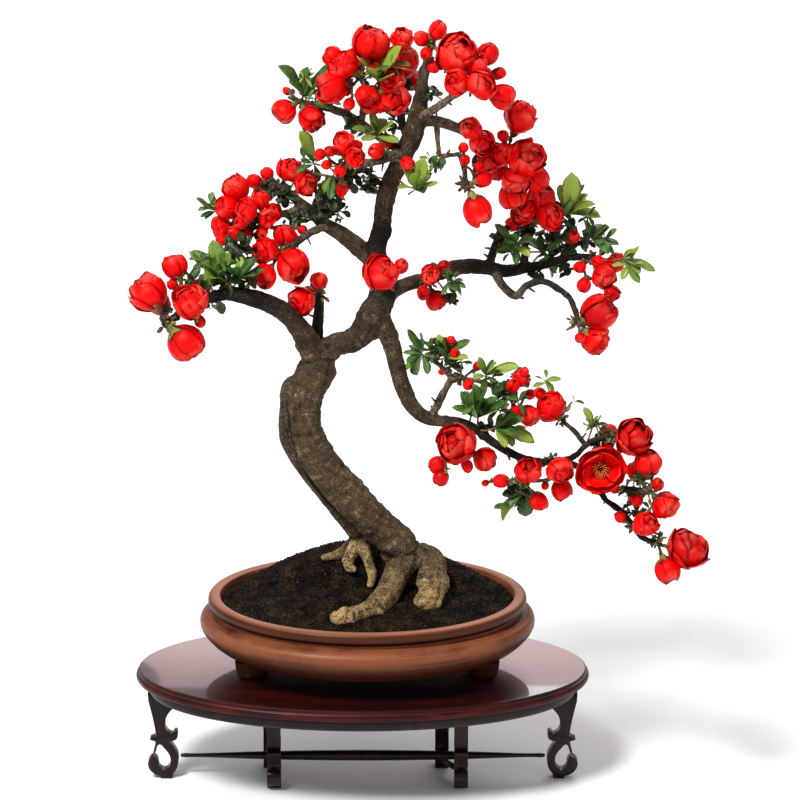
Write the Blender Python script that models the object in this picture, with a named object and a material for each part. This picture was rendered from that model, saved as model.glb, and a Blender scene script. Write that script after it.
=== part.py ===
"""A flowering quince bonsai: a leaning old trunk in an oval clay pot, on a lacquered wooden stand.

All sizes are in millimetres and are turned into metres where a mesh is made. +Z is up, +X is
to the right and +Y is away from the front. The origin is on the floor, in the middle of the
whole object. The tree is styled for one front view, so its routes are laid out on a front
drawing, 800 mm square, seen a little from above: a place is given as millimetres across from
the drawing's left edge, millimetres down from its top edge, and millimetres behind the plane
of the trunk.
"""

import math
import random

import bmesh
import bpy
from mathutils import Matrix, Quaternion, Vector
from mathutils.bvhtree import BVHTree

MM = 0.001
GAP = 0.3                  # clearance between pieces that touch
CLEAR = 0.9                # clearance round a bunch, from leaves and from other bunches
STIR = 0.03                # random shift of the points of shapes that are fused

# The front drawing
VIEW_RISE = math.radians(18)   # how far the view looks down
VIEW_REACH = 5000.0            # distance from the eye to the trunk's plane
VIEW_MIDDLE = 400.0            # middle of the drawing, across and down
VIEW_MIDDLE_X = -13.0          # where that middle lies in the model
VIEW_MIDDLE_Y = 3.0
VIEW_MIDDLE_Z = 402.0
CROWN_DEPTH = 1.5              # the crown is this much deeper than the table's figures

# The stand
STAND_X = -51.0
STAND_Y = -5.0
BOARD_TOP = 120.0
BOARD_THICK = 13.0
BOARD_HALF = (230.0, 127.0)
UNDER_THICK = 14.0
UNDER_INSET = 13.0
LEG_THICK = 14.0
END_LEG_REACH = 219.5          # outer face of the end legs, from the stand's middle
SIDE_LEGS = {"left": (-90.0, -95.0), "right": (100.0, 81.0)}  # across, in front and behind
SIDE_LEG_REACH = 46.0          # outer face of the front and back legs
RAIL_HEIGHT = 23.0
RAIL_RADIUS = 5.6              # in its middle
CROSS_RAIL_RADIUS = 3.4

# The pot
POT_X = -46.0
POT_Y = 3.0
POT_HEIGHT = 76.0
POT_HALF = (170.0, 131.0)      # at the belly
POT_FOOT = (117.0, 40.0)
OVAL_SIDES = 36

# The soil
SOIL_EDGE = 70.0               # height of the soil at the wall, above the stand's board
SOIL_MOUND = 13.0              # height of the mound in the middle, above the edge
SOIL_BACK = 34.0               # and how much fuller it is behind the trunk
SOIL_SHARES = (1, 0.86, 0.66, 0.42, 0.16)

# Bark, leaf and petal sizes
LEAF_WIDTH = 0.38              # of the leaf's length
LEAF_THICK = 1.2               # at the midrib
PETAL_THICK = 1.3
STALK = 1.3                    # radius of a flower stalk
SHOOT = 1.2                    # radius of a green shoot
HUB = 2.6                      # radius of the knuckle that stalks and leaves grow from
COLLAR = 1.9                   # thickness of a knuckle that goes round a twig
OVERLAP = 0.86                 # flowers closer than this share of their sizes hold together
PULL = 6.0                     # a flower this close to its neighbour is set against it
LEAN_BUNCH = 0.6               # share of the faces kept in a fused bunch
LEAN_SPRAY = 0.72              # and in a fused spray
TOUCH = 0.0002                 # points closer than this count as touching

# Wood: each route runs from its root to its tip, as (across, down, back, radius)
TRUNK_ROUTES = {
    "stump": [(408, 602, 26, 15), (407, 584, 22, 16), (405, 566, 12, 17), (397, 549, 5, 17.5)],
    "trunk": [(404, 557, 5, 19), (395, 541, 4, 17.6), (373, 520, 2, 17), (354, 500, 0, 18),
              (335, 480, -1, 17.4),
              (320, 460, -2, 17), (309, 441, -1, 16.6), (304, 420, 0, 16), (303, 402, 2, 17),
              (309, 384, 3, 18), (320, 365, 3, 18.4)],
    "strand": [(299, 379, 4, 5), (291, 383, 5, 6.6), (286, 393, 6, 6.2), (284.5, 408, 8, 5),
               (283.5, 425, 9, 5),
               (286, 441, 9, 5.4), (295, 457, 9, 6), (306, 473, 10, 6), (319, 490, 12, 5.6),
               (333, 507, 14, 6), (347, 523, 18, 7), (358, 538, 20, 8.6), (349, 549, 22, 7.6),
               (337, 555, 25, 5),
               (323, 558, 26, 3.4)],
    "front_root": [(404, 560, 0, 16), (397, 574, -14, 12.5), (389, 590, -33, 12), (379, 605, -51, 12),
                   (366, 613, -64, 9.6), (350, 617, -75, 8.6), (339, 618, -81, 6.6)],
    "right_root": [(418, 556, 6, 15), (432, 564, 0, 14), (434, 579, -16, 12), (431, 594, -34, 11.5),
                   (426, 605, -48, 9.5)],
    "left_root": [(359, 541, 18, 8.6), (352, 552, 14, 6.8), (348, 562, 9, 5.2), (351, 570, 5, 3.6)],
    "thin_root": [(363, 548, 9, 6.4), (369, 562, 3, 4.8), (372, 575, -3, 4.4), (371, 586, -8, 3.4)],
    "back_root": [(408, 556, 22, 14), (417, 557, 42, 9.4), (423, 567, 58, 5.6)],
}
LIMB_ROUTES = {
    "leader": [(317, 362, 3, 15), (333, 346, 2, 11.8), (347, 342, 0, 11.2), (361, 334, 0, 12.5),
               (372, 317, 0, 14.5), (381, 300, 2, 13), (383, 284, 5, 12), (378, 267, 6, 11),
               (376, 250, 6, 10), (381, 230, 6, 9), (384, 208, 6, 9), (388, 190, 6, 9),
               (395, 172, 6, 9), (405, 152, 5, 9.5), (412, 136, 4, 10), (417, 118, 3, 9.5),
               (421, 98, 2, 7), (423, 80, 0, 5), (427, 60, 0, 3), (431, 46, 0, 2)],
    "left_limb": [(318, 363, 3, 14), (308, 342, -2, 11.5), (295, 323, -10, 9.5), (279, 309, -18, 9),
                  (262, 301, -26, 8.5), (245, 296, -32, 8), (228, 294, -38, 6.6), (212, 297, -44, 5),
                  (196, 301, -49, 3.4), (181, 312, -54, 2.6), (166, 322, -57, 2)],
    "left_riser": [(312, 352, 6, 9), (317, 330, 8, 6.2), (319, 308, 8, 5), (320, 292, 8, 3.6)],
    "second_limb": [(375, 262, 6, 9.5), (358, 247, 10, 8.5), (340, 233, 14, 7.5), (323, 223, 18, 6.4),
                    (307, 208, 22, 5.4), (293, 197, 26, 4.4), (280, 186, 29, 3.2)],
    "cascade": [(380, 318, 0, 10), (389, 337, -4, 9), (396, 362, -10, 8.4), (402, 384, -16, 8),
                (411, 404, -22, 7.4), (425, 417, -28, 6.4), (441, 421, -32, 5.4), (458, 422, -36, 4.8),
                (474, 428, -40, 4.4), (490, 440, -44, 4.2), (507, 451, -48, 4), (525, 459, -52, 3.8),
                (543, 462, -54, 3.5), (562, 461, -56, 3.2), (580, 468, -58, 2.9), (594, 482, -60, 2.7),
                (606, 500, -62, 2.5), (621, 511, -64, 2.3), (632, 525, -66, 2.1), (643, 538, -68, 1.9),
                (657, 542, -70, 1.7)],
    "middle_limb": [(383, 302, 4, 9), (393, 291, 10, 7.6), (408, 284, 18, 7), (427, 279, 24, 7),
                    (447, 270, 30, 7.4), (467, 266, 34, 7.4), (488, 268, 38, 7), (507, 271, 42, 6.2),
                    (525, 268, 44, 5.4), (542, 265, 44, 4.6), (558, 260, 42, 3.8), (576, 257, 40, 3),
                    (598, 258, 36, 2.4)],
}
BRANCH_ROUTES = {
    "second_low": [(334, 229, 16, 4.6), (320, 228, 12, 3.6), (306, 235, 8, 3.2), (292, 246, 4, 2.8),
                   (282, 252, 2, 2.2)],
    "second_left": [(304, 206, 23, 3.8), (289, 212, 22, 3.2), (274, 216, 20, 2.6), (261, 217, 18, 2.1)],
    "short_left": [(408, 154, 4, 6), (396, 154, 0, 4.8), (384, 159, -4, 4.2), (369, 163, -8, 3.2),
                   (346, 159, -13, 2.2)],
    "upper_left": [(407, 158, 8, 5), (390, 143, 14, 4.6), (371, 131, 18, 4.6), (356, 120, 22, 4.2),
                   (341, 112, 26, 3.8), (325, 107, 30, 3.2), (311, 104, 31, 2.6), (299, 101, 32, 2)],
    "upper_riser": [(362, 125, 20, 3.2), (363, 107, 18, 3), (365, 90, 16, 2.6), (361, 77, 14, 2)],
    "stub": [(410, 142, 8, 4.6), (403, 125, 16, 3.8), (400, 110, 22, 3), (399, 97, 24, 2.2)],
    "upper_right": [(419, 118, 0, 5), (433, 110, -6, 4), (446, 101, -12, 3.4), (458, 93, -17, 2.8),
                    (468, 87, -20, 2.2)],
    "right_top": [(418, 121, 2, 6), (436, 121, 8, 5.4), (455, 127, 14, 4.8), (474, 136, 20, 3.8),
                  (492, 144, 24, 3), (508, 148, 26, 2.2)],
    "right_top_twig": [(437, 122, 8, 2.6), (438, 143, 4, 2.2), (441, 156, 2, 2.1), (452, 155, 4, 2),
                       (460, 156, 4, 2), (464, 170, 2, 1.9), (467, 184, 0, 1.7)],
    "middle_riser": [(489, 267, 38, 4.6), (494, 249, 35, 4), (500, 235, 31, 3.2), (508, 228, 30, 2.4)],
    "middle_riser_far": [(524, 268, 44, 4), (525, 249, 46, 3.2), (528, 234, 43, 2.6), (531, 223, 40, 2)],
    "middle_outer": [(540, 265, 44, 3.2), (553, 254, 50, 2.8), (567, 246, 54, 2.3), (584, 242, 54, 1.8)],
    "middle_low": [(494, 270, 38, 4.8), (503, 286, 34, 4.2), (516, 296, 30, 4), (526, 286, 26, 3.5),
                   (541, 281, 22, 3.2), (557, 288, 16, 2.8), (570, 299, 10, 2.5), (576, 313, 6, 2.2),
                   (578, 324, 4, 2)],
    "cascade_riser": [(431, 418, -30, 4), (438, 404, -26, 3.4), (445, 390, -22, 3), (452, 377, -18, 2.6)],
    "cascade_left": [(452, 379, -19, 2.5), (441, 366, -15, 2.1), (428, 358, -12, 1.7)],
    "cascade_right": [(451, 377, -18, 2.5), (466, 379, -21, 2.1), (482, 382, -23, 1.9),
                      (497, 389, -27, 1.8), (509, 398, -31, 1.7)],
    "cascade_outer": [(562, 461, -56, 2.8), (575, 456, -55, 2.6), (585, 446, -53, 2.4),
                      (597, 439, -53, 2.2), (612, 437, -54, 1.9)],
    "cascade_spine": [(586, 446, -53, 2.2), (575, 432, -49, 2), (565, 423, -45, 1.8), (559, 417, -43, 1.6)],
    "cascade_end": [(600, 492, -61, 2.3), (614, 489, -60, 2.1), (631, 489, -60, 1.9), (647, 490, -62, 1.7)],
    "drop_inner": [(456, 422, -36, 2.4), (458, 436, -43, 2), (460, 448, -49, 1.8)],
    "drop_middle": [(519, 457, -51, 2.2), (521, 469, -55, 1.9), (524, 480, -58, 1.7)],
}

# Bunches: (name, places where the bunch grips its twig, flowers).
# A flower is (kind, across, down, back, width, facing); facing None looks away from its grip.
BUNCHES = [
    ("bunch_left_tip", [(298, 101, 32)],
     [("globe", 283, 112, 28, 26, None), ("globe", 312, 119, 26, 28, None), ("bud", 287, 91, 36, 9, None)]),
    ("bunch_top_left", [(361, 76, 14)],
     [("globe", 341, 65, 10, 32, None), ("globe", 332, 88, 6, 33, None), ("globe", 371, 42, 12, 37, None),
      ("globe", 367, 98, -2, 25, None), ("globe", 352, 66, 34, 26, None)]),
    ("bunch_top", [(399, 95, 24)],
     [("globe", 402, 60, 22, 35, None), ("globe", 396, 100, 6, 29, None), ("globe", 391, 79, 8, 27, None),
      ("bud", 411, 80, 42, 22, None)]),
    ("bunch_peak", [(431, 44, 0)],
     [("bud", 438, 29, -3, 21, None), ("bud", 421, 38, 0, 17, None), ("bud", 426, 54, -10, 14, None)]),
    ("bunch_top_right", [(469, 86, -20)],
     [("open", 456, 54, -22, 44, (-0.1, -0.9, 0.5)), ("globe", 456, 82, -34, 27, None),
      ("globe", 481, 85, -34, 31, None), ("bud", 488, 53, -14, 23, None), ("globe", 503, 97, -20, 27, None),
      ("bud", 500, 73, -12, 13, None), ("globe", 482, 78, 0, 26, None)]),
    ("bunch_right_top", [(509, 148, 26), (474, 135, 20)],
     [("globe", 521, 115, 26, 36, None), ("globe", 502, 155, 12, 28, None),
      ("open", 527, 158, 12, 40, (0.35, -1.0, 0.1)), ("globe", 517, 182, 12, 31, None),
      ("globe", 513, 197, 22, 31, None), ("globe", 471, 129, 6, 24, None), ("globe", 482, 143, 8, 27, None),
      ("globe", 497, 170, 34, 24, None)]),
    ("bunch_right_hanging", [(467, 185, 0)],
     [("bud", 465, 160, -4, 11, None), ("bud", 479, 168, 6, 13, None), ("bud", 483, 180, 4, 18, None),
      ("globe", 478, 211, -3, 33, None)]),
    ("bunch_right_inner", [(531, 222, 40)],
     [("globe", 541, 198, 36, 28, None), ("globe", 526, 210, 25, 22, None), ("globe", 551, 216, 30, 31, None),
      ("bud", 512, 224, 38, 15, None), ("globe", 536, 214, 58, 24, None)]),
    ("bunch_right_small", [(566, 246, 54)], [("bud", 572, 237, 45, 16, None)]),
    ("bunch_right_end", [(589, 258, 38)],
     [("globe", 606, 278, 28, 29, None), ("bud", 580, 267, 30, 13, None), ("bud", 584, 286, 26, 16, None),
      ("globe", 618, 262, 46, 20, None)]),
    ("bunch_right_low", [(578, 323, 4)],
     [("globe", 600, 312, 2, 38, None), ("globe", 598, 342, 0, 30, None), ("bud", 581, 339, -4, 12, None)]),
    ("bunch_middle", [(384, 284, 0)],
     [("open", 381, 272, -27, 40, (-0.35, -0.9, 0.45)), ("bud", 401, 266, -18, 17, None)]),
    ("bunch_middle_right", [(427, 281, 22)],
     [("globe", 430, 275, 6, 22, None), ("bud", 444, 266, 12, 14, None), ("globe", 437, 302, 16, 23, None),
      ("bud", 423, 293, 6, 15, None)]),
    ("bunch_left_upper", [(279, 187, 29), (260, 217, 18)],
     [("globe", 291, 168, 22, 27, None), ("globe", 307, 184, 8, 26, None), ("bud", 253, 181, 30, 17, None),
      ("bud", 267, 173, 32, 13, None), ("globe", 260, 199, 14, 21, None), ("globe", 236, 188, 16, 27, None),
      ("globe", 226, 207, 12, 27, None), ("globe", 246, 209, 2, 25, None), ("globe", 268, 218, 6, 19, None),
      ("bud", 241, 222, 2, 15, None), ("globe", 219, 228, 14, 24, None), ("globe", 233, 234, 8, 18, None),
      ("bud", 247, 235, 10, 14, None), ("globe", 262, 192, 44, 25, None)]),
    ("bunch_left_middle", [(281, 253, 2)],
     [("globe", 286, 235, 10, 27, None), ("globe", 265, 250, -4, 27, None),
      ("globe", 293, 266, -10, 34, None),
      ("globe", 264, 277, -14, 27, None)]),
    ("bunch_left_riser", [(320, 292, 8)],
     [("bud", 319, 280, 2, 18, None), ("globe", 299, 303, -8, 32, None), ("globe", 312, 296, 26, 20, None)]),
    ("bunch_left_end", [(190, 303, -51)],
     [("globe", 174, 265, -44, 28, None), ("open", 190, 301, -66, 36, (0.1, -1.0, 0.1)),
      ("globe", 197, 290, -30, 24, None)]),
    ("bunch_left_far", [(166, 322, -57)],
     [("globe", 147, 292, -52, 38, None), ("globe", 186, 343, -58, 37, None),
      ("globe", 160, 305, -36, 24, None)]),
    ("bunch_inner_left", [(345, 159, -13)],
     [("globe", 343, 141, -17, 25, None), ("globe", 355, 157, -27, 22, None),
      ("bud", 319, 154, -12, 12, None),
      ("bud", 330, 151, -20, 12, None), ("bud", 326, 165, -17, 11, None), ("bud", 340, 171, -20, 12, None),
      ("bud", 342, 189, -2, 16, None)]),
    ("bunch_inner_top", [(388, 157, -5)],
     [("bud", 376, 151, -13, 16, None), ("bud", 408, 164, -18, 16, None), ("bud", 386, 143, 6, 15, None)]),
    ("bunch_cascade_buds", [(464, 379, -21)],
     [("bud", 469, 385, -28, 12, None), ("bud", 455, 353, -20, 11, None), ("bud", 478, 366, -14, 11, None)]),
    ("bunch_cascade_inner", [(461, 448, -49)],
     [("open", 457, 444, -64, 37, (-0.2, -1.0, 0.25)), ("globe", 437, 465, -50, 18, None),
      ("globe", 441, 478, -54, 16, None), ("globe", 487, 460, -53, 27, None),
      ("bud", 467, 466, -58, 14, None)]),
    ("bunch_cascade_top", [(509, 398, -31), (560, 418, -43)],
     [("globe", 522, 377, -30, 20, None), ("bud", 513, 386, -38, 15, None),
      ("globe", 530, 416, -34, 22, None),
      ("globe", 550, 407, -46, 29, None), ("bud", 541, 394, -36, 14, None),
      ("bud", 531, 394, -20, 13, None)]),
    ("bunch_cascade_under", [(524, 480, -58)],
     [("globe", 528, 470, -68, 28, None), ("bud", 500, 481, -58, 17, None),
      ("bud", 539, 502, -60, 20, None)]),
    ("bunch_cascade_low", [(552, 462, -55)],
     [("globe", 561, 471, -69, 28, None), ("globe", 562, 490, -58, 22, None)]),
    ("bunch_cascade_face", [(599, 486, -60)], [("open", 601, 470, -77, 47, (0.0, -1.0, 0.15))]),
    ("bunch_cascade_outer", [(612, 437, -54), (647, 490, -62)],
     [("open", 633, 437, -60, 40, (0.45, -0.8, 0.4)), ("globe", 608, 433, -42, 20, None),
      ("globe", 648, 461, -62, 27, None), ("bud", 658, 484, -70, 14, None),
      ("globe", 667, 507, -66, 29, None),
      ("bud", 637, 501, -64, 12, None), ("globe", 640, 470, -42, 24, None)]),
    ("bunch_cascade_end", [(634, 528, -66)],
     [("globe", 646, 524, -76, 27, None), ("bud", 620, 517, -68, 12, None)]),
    ("bunch_cascade_tip", [(657, 542, -70)],
     [("open", 688, 548, -72, 42, (1.0, -0.35, 0.1)), ("globe", 668, 571, -76, 28, None)]),
]

# Sprays: (name, place on the wood, rosettes); a rosette is (across, down, back, leaf tips)
SPRAYS = [
    ("spray_left_tip", (309, 103, 31),
     [(305, 97, 28, [(280, 65, 22), (289, 80, 38), (307, 67, 26), (335, 62, 22), (320, 76, 44)]),
      (312, 101, 22, [(334, 108, 8), (338, 86, 10)])]),
    ("spray_top", (366, 92, 16),
     [(378, 82, 8, [(401, 46, 0), (360, 58, -6), (374, 66, -14), (394, 74, -10), (386, 60, 26)])]),
    ("spray_inner_top", (380, 137, 16),
     [(377, 136, 6, [(371, 111, 10), (394, 122, 0), (399, 141, -4), (352, 128, 0), (362, 140, -10),
                     (384, 118, 22)])]),
    ("spray_inner_left", (352, 160, -12),
     [(314, 164, 14, [(301, 131, 8), (303, 151, 2), (296, 172, 8), (318, 183, 12)]),
      (334, 174, 2, [(322, 196, 6), (330, 200, -8), (352, 184, 12)])]),
    ("spray_leader", (395, 177, 4),
     [(417, 189, -16, [(402, 163, -18), (424, 158, -20), (398, 188, -26), (438, 182, -20), (430, 170, -6),
                       (415, 171, -32)])]),
    ("spray_right", (531, 236, 44),
     [(566, 214, 46, [(572, 173, 40), (560, 184, 56), (588, 194, 44), (594, 203, 34), (601, 217, 44),
                      (585, 207, 62)])]),
    ("spray_right_outer", (584, 242, 54),
     [(592, 240, 48, [(584, 220, 44), (606, 226, 44), (619, 244, 40), (616, 254, 52), (600, 222, 64),
                      (608, 252, 28)])]),
    ("spray_right_tip", (598, 258, 36),
     [(622, 259, 32, [(640, 283, 28), (656, 270, 30), (635, 249, 28), (640, 262, 48)])]),
    ("spray_right_inner", (497, 240, 34),
     [(514, 246, 24, [(495, 224, 22), (499, 250, 18), (516, 264, 16), (530, 256, 14), (509, 232, 8)]),
      (543, 252, 46, [(529, 239, 60), (556, 272, 40), (562, 240, 34), (540, 235, 54), (553, 277, 56)])]),
    ("spray_middle", (448, 272, 30),
     [(448, 282, 12, [(466, 288, 6), (446, 268, -2), (458, 272, 4), (442, 295, 4), (462, 296, 18)])]),
    ("spray_left_upper", (268, 216, 19),
     [(216, 211, 30, [(196, 198, 26), (200, 217, 30), (209, 193, 34), (203, 206, 48)])]),
    ("spray_left_limb", (224, 295, -39),
     [(219, 279, -35, [(190, 251, -34), (213, 240, -30), (203, 262, -50), (230, 252, -34), (196, 278, -26),
                       (206, 276, -56), (222, 256, -14)]),
      (238, 280, -30, [(252, 260, -32), (240, 254, -20), (255, 274, -42), (226, 266, -54), (243, 268, -6)])]),
    ("spray_cascade_left", (428, 358, -12),
     [(422, 354, -12, [(408, 329, -12), (421, 333, -18), (403, 352, -12), (405, 370, -14), (428, 374, -20),
                       (416, 374, 2), (412, 344, 8)]),
      (446, 358, -18, [(438, 334, -16), (470, 340, -22), (468, 358, -28), (452, 340, -4), (436, 346, -30)])]),
    ("spray_cascade_middle", (484, 383, -23),
     [(486, 376, -26, [(479, 357, -28), (496, 362, -34), (474, 378, -40), (519, 366, -30), (482, 396, -34),
                       (494, 366, -10)])]),
    ("spray_cascade_big", (476, 428, -40),
     [(478, 418, -42, [(452, 407, -44), (461, 391, -40), (475, 384, -46), (485, 389, -54), (497, 397, -42),
                       (466, 396, -22), (508, 404, -56)]),
      (495, 428, -50, [(506, 447, -62), (535, 442, -52), (517, 434, -66), (524, 418, -54),
                       (512, 414, -34)])]),
    ("spray_cascade_outer", (584, 446, -53),
     [(592, 428, -52, [(584, 407, -50), (598, 416, -58), (583, 424, -60), (603, 424, -40)])]),
    ("spray_cascade_low", (526, 480, -58),
     [(525, 490, -52, [(500, 520, -50), (507, 488, -44), (516, 500, -30)])]),
]

# The scroll leg's outline, as (out from the stand's middle, up from the floor) before LEG shifts
# it to its place: out 0 is the leg's outer face and it grows inwards.
LEG_OUTLINE = [
    (1, 88), (1.5, 80), (5, 66), (8, 53), (8.4, 46), (2.6, 42.4), (8.2, 40), (7.0, 33), (5.6, 26.6),
    (8.2, 29), (10.2, 35.6), (13.2, 37), (17, 33), (21.5, 27), (23.4, 20), (22, 12.8), (18, 8.8),
    (13.5, 10), (11.2, 14), (10.8, 18), (8.4, 22.2), (4, 22.6), (0.6, 18.4), (0.2, 14), (2.2, 9),
    (7.2, 4.6), (13, 2.6), (14, 0), (24.2, 0), (25.4, 4.6), (29.5, 11), (31.4, 19), (30.4, 27),
    (26.2, 34.6), (22.6, 40.4), (26, 41), (30, 43.6), (31.2, 49), (28.4, 51), (25.4, 47.8), (21.6, 49.6),
    (18.4, 55.5), (19.4, 63), (24, 70), (29, 74.6), (31, 88),
]
LEG_WAIST = 31.2               # how far in the legs reach at the long rail's height
LEG_FOOT_WAIST = 30.1          # and at the cross rails' height

COLOURS = {
    "bark": (0.12, 0.09, 0.06, 0.9, 0.0),
    "petal": (0.75, 0.02, 0.02, 0.5, 0.0),
    "leaf": (0.10, 0.25, 0.03, 0.5, 0.0),
    "soil": (0.02, 0.015, 0.01, 1.0, 0.0),
    "clay": (0.33, 0.13, 0.07, 0.45, 0.0),
    "lacquer": (0.09, 0.012, 0.01, 0.25, 0.0),
}


def spot(across, down, back):
    """The place in the model of a point on the front drawing, that far behind the trunk's plane."""
    right, rise = across - VIEW_MIDDLE, VIEW_MIDDLE - down
    level, fall = math.cos(VIEW_RISE), math.sin(VIEW_RISE)
    height = (rise * (VIEW_REACH + back * level) - VIEW_REACH * back * fall)
    height /= VIEW_REACH * level + rise * fall
    distance = VIEW_REACH + back * level - height * fall
    return Vector((right * distance / VIEW_REACH + VIEW_MIDDLE_X, back + VIEW_MIDDLE_Y,
                   height + VIEW_MIDDLE_Z))


def crown_spot(across, down, back):
    """A place in the crown, where the drawing's depths are stretched."""
    return spot(across, down, back * CROWN_DEPTH)


def material(name):
    """The Principled material of that name, made once."""
    made = bpy.data.materials.get(name)
    if made is None:
        red, green, blue, roughness, metallic = COLOURS[name]
        made = bpy.data.materials.new(name)
        made.use_nodes = True
        shader = made.node_tree.nodes["Principled BSDF"]
        shader.inputs["Base Color"].default_value = (red, green, blue, 1)
        shader.inputs["Roughness"].default_value = roughness
        shader.inputs["Metallic"].default_value = metallic
    return made


def solid(name, points, faces, stir=0.0):
    """A closed mesh object from points in millimetres, with its faces turned outwards.

    Shapes that are to be fused are stirred by a few hundredths of a millimetre, so that no two of
    them touch edge to edge.
    """
    rng = random.Random(f"{name} {len(points)}")
    stirred = [Vector(p) + stir * Vector((rng.uniform(-1, 1), rng.uniform(-1, 1), rng.uniform(-1, 1)))
               for p in points]
    mesh = bpy.data.meshes.new(name)
    mesh.from_pydata([p * MM for p in stirred], [], faces)
    shape = bmesh.new()
    shape.from_mesh(mesh)
    bmesh.ops.recalc_face_normals(shape, faces=shape.faces)
    shape.to_mesh(mesh)
    shape.free()
    made = bpy.data.objects.new(name, mesh)
    bpy.context.scene.collection.objects.link(made)
    return made


def finish(made, colour, smooth=False):
    """Gives the object its material and its shading."""
    made.data.materials.clear()
    made.data.materials.append(material(colour))
    if smooth:
        made.data.shade_smooth()
        made.data.set_sharp_from_angle(angle=math.radians(40))
    return made


def loft(name, rings, stir=0.0):
    """A closed solid through rings of equal point count, with a flat face over each end."""
    count = len(rings[0])
    points = [p for ring in rings for p in ring]
    faces = []
    for level in range(len(rings) - 1):
        for side in range(count):
            low, high = level * count, (level + 1) * count
            nxt = (side + 1) % count
            faces.append((low + side, low + nxt, high + nxt, high + side))
    last = len(points) - count
    faces += [tuple(range(count)), tuple(range(last, last + count))]
    return solid(name, points, faces, stir)


def spline(knots, steps):
    """Points on a smooth curve through the knots, which may carry a radius as a fourth number."""
    found = []
    for index in range(len(knots) - 1):
        a = knots[max(index - 1, 0)]
        b, c = knots[index], knots[index + 1]
        d = knots[min(index + 2, len(knots) - 1)]
        for step in range(steps):
            t = step / steps
            found.append([0.5 * (2 * q + (r - p) * t + (2 * p - 5 * q + 4 * r - s) * t * t
                                 + (3 * q - p - 3 * r + s) * t ** 3) for p, q, r, s in zip(a, b, c, d)])
    found.append(list(knots[-1]))
    return found


def tube(name, knots, sides, steps, swell=0.0):
    """A round limb along a smooth curve through knots of (x, y, z, radius)."""
    path = spline(knots, steps)
    centres = [Vector(p[:3]) for p in path]
    first = (centres[1] - centres[0]).normalized()
    side_way = Vector((0, 1, 0)) if abs(first.y) < 0.9 else Vector((1, 0, 0))
    rings = []
    for index, centre in enumerate(centres):
        ahead = centres[min(index + 1, len(centres) - 1)] - centres[max(index - 1, 0)]
        ahead.normalize()
        side_way = (side_way - ahead * side_way.dot(ahead)).normalized()
        other = ahead.cross(side_way)
        radius = path[index][3] + swell
        if swell and index in (0, len(centres) - 1):
            centre = centre + ahead * swell * (1 if index else -1)
        turns = [2 * math.pi * k / sides for k in range(sides)]
        rings.append([centre + (side_way * math.cos(t) + other * math.sin(t)) * radius for t in turns])
    return loft(name, rings, STIR)


def keep_largest(mesh):
    """Drops every loose scrap but the largest body."""
    shape = bmesh.new()
    shape.from_mesh(mesh)
    left, bodies = set(shape.verts), []
    while left:
        body, edge = set(), [left.pop()]
        while edge:
            vertex = edge.pop()
            body.add(vertex)
            for link in vertex.link_edges:
                other = link.other_vert(vertex)
                if other in left:
                    left.discard(other)
                    edge.append(other)
        bodies.append(body)
    bodies.sort(key=len)
    for body in bodies[:-1]:
        if len(body) > 20:
            middle = sum((v.co for v in body), Vector()) / len(body)
            print("dropped", mesh.name, len(body), [round(c * 1000) for c in middle])
        bmesh.ops.delete(shape, geom=list(body), context="VERTS")
    shape.to_mesh(mesh)
    shape.free()


def combined(first, others, operation, solver="MANIFOLD"):
    """Applies one Boolean of the others to the first object, then removes the others."""
    if not others:
        return first
    group = bpy.data.collections.new("group")
    bpy.context.scene.collection.children.link(group)
    for other in others:
        bpy.context.scene.collection.objects.unlink(other)
        group.objects.link(other)
    step = first.modifiers.new("combine", "BOOLEAN")
    step.operation, step.solver = operation, solver
    step.operand_type, step.collection = "COLLECTION", group
    graph = bpy.context.evaluated_depsgraph_get()
    graph.update()
    mesh = bpy.data.meshes.new_from_object(first.evaluated_get(graph))
    first.modifiers.clear()
    first.data = mesh
    for other in others:
        bpy.data.objects.remove(other)
    bpy.data.collections.remove(group)
    mesh.name = first.name
    return first


def turned(point, axis, base, roll=0.0):
    """A point of a shape that grows along +Z, moved so that it grows along the axis from the base."""
    way = Vector((0, 0, 1)).rotation_difference(Vector(axis).normalized())
    return base + way @ (Quaternion((0, 0, 1), roll) @ Vector(point))


def ball(name, centre, radius, sides=6, levels=3):
    """A faceted ball."""
    points, faces = [centre + Vector((0, 0, radius)), centre - Vector((0, 0, radius))], []
    for level in range(1, levels):
        polar = math.pi * level / levels
        for side in range(sides):
            turn = 2 * math.pi * (side + 0.5 * level) / sides
            points.append(centre + radius * Vector((math.sin(polar) * math.cos(turn),
                                                    math.sin(polar) * math.sin(turn), math.cos(polar))))
    for side in range(sides):
        nxt = (side + 1) % sides
        faces.append((0, 2 + side, 2 + nxt))
        for level in range(levels - 2):
            low, high = 2 + level * sides, 2 + (level + 1) * sides
            faces.append((low + side, high + side, low + nxt))
            faces.append((low + nxt, high + side, high + nxt))
        last = 2 + (levels - 2) * sides
        faces.append((1, last + nxt, last + side))
    return solid(name, points, faces, STIR)


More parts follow.
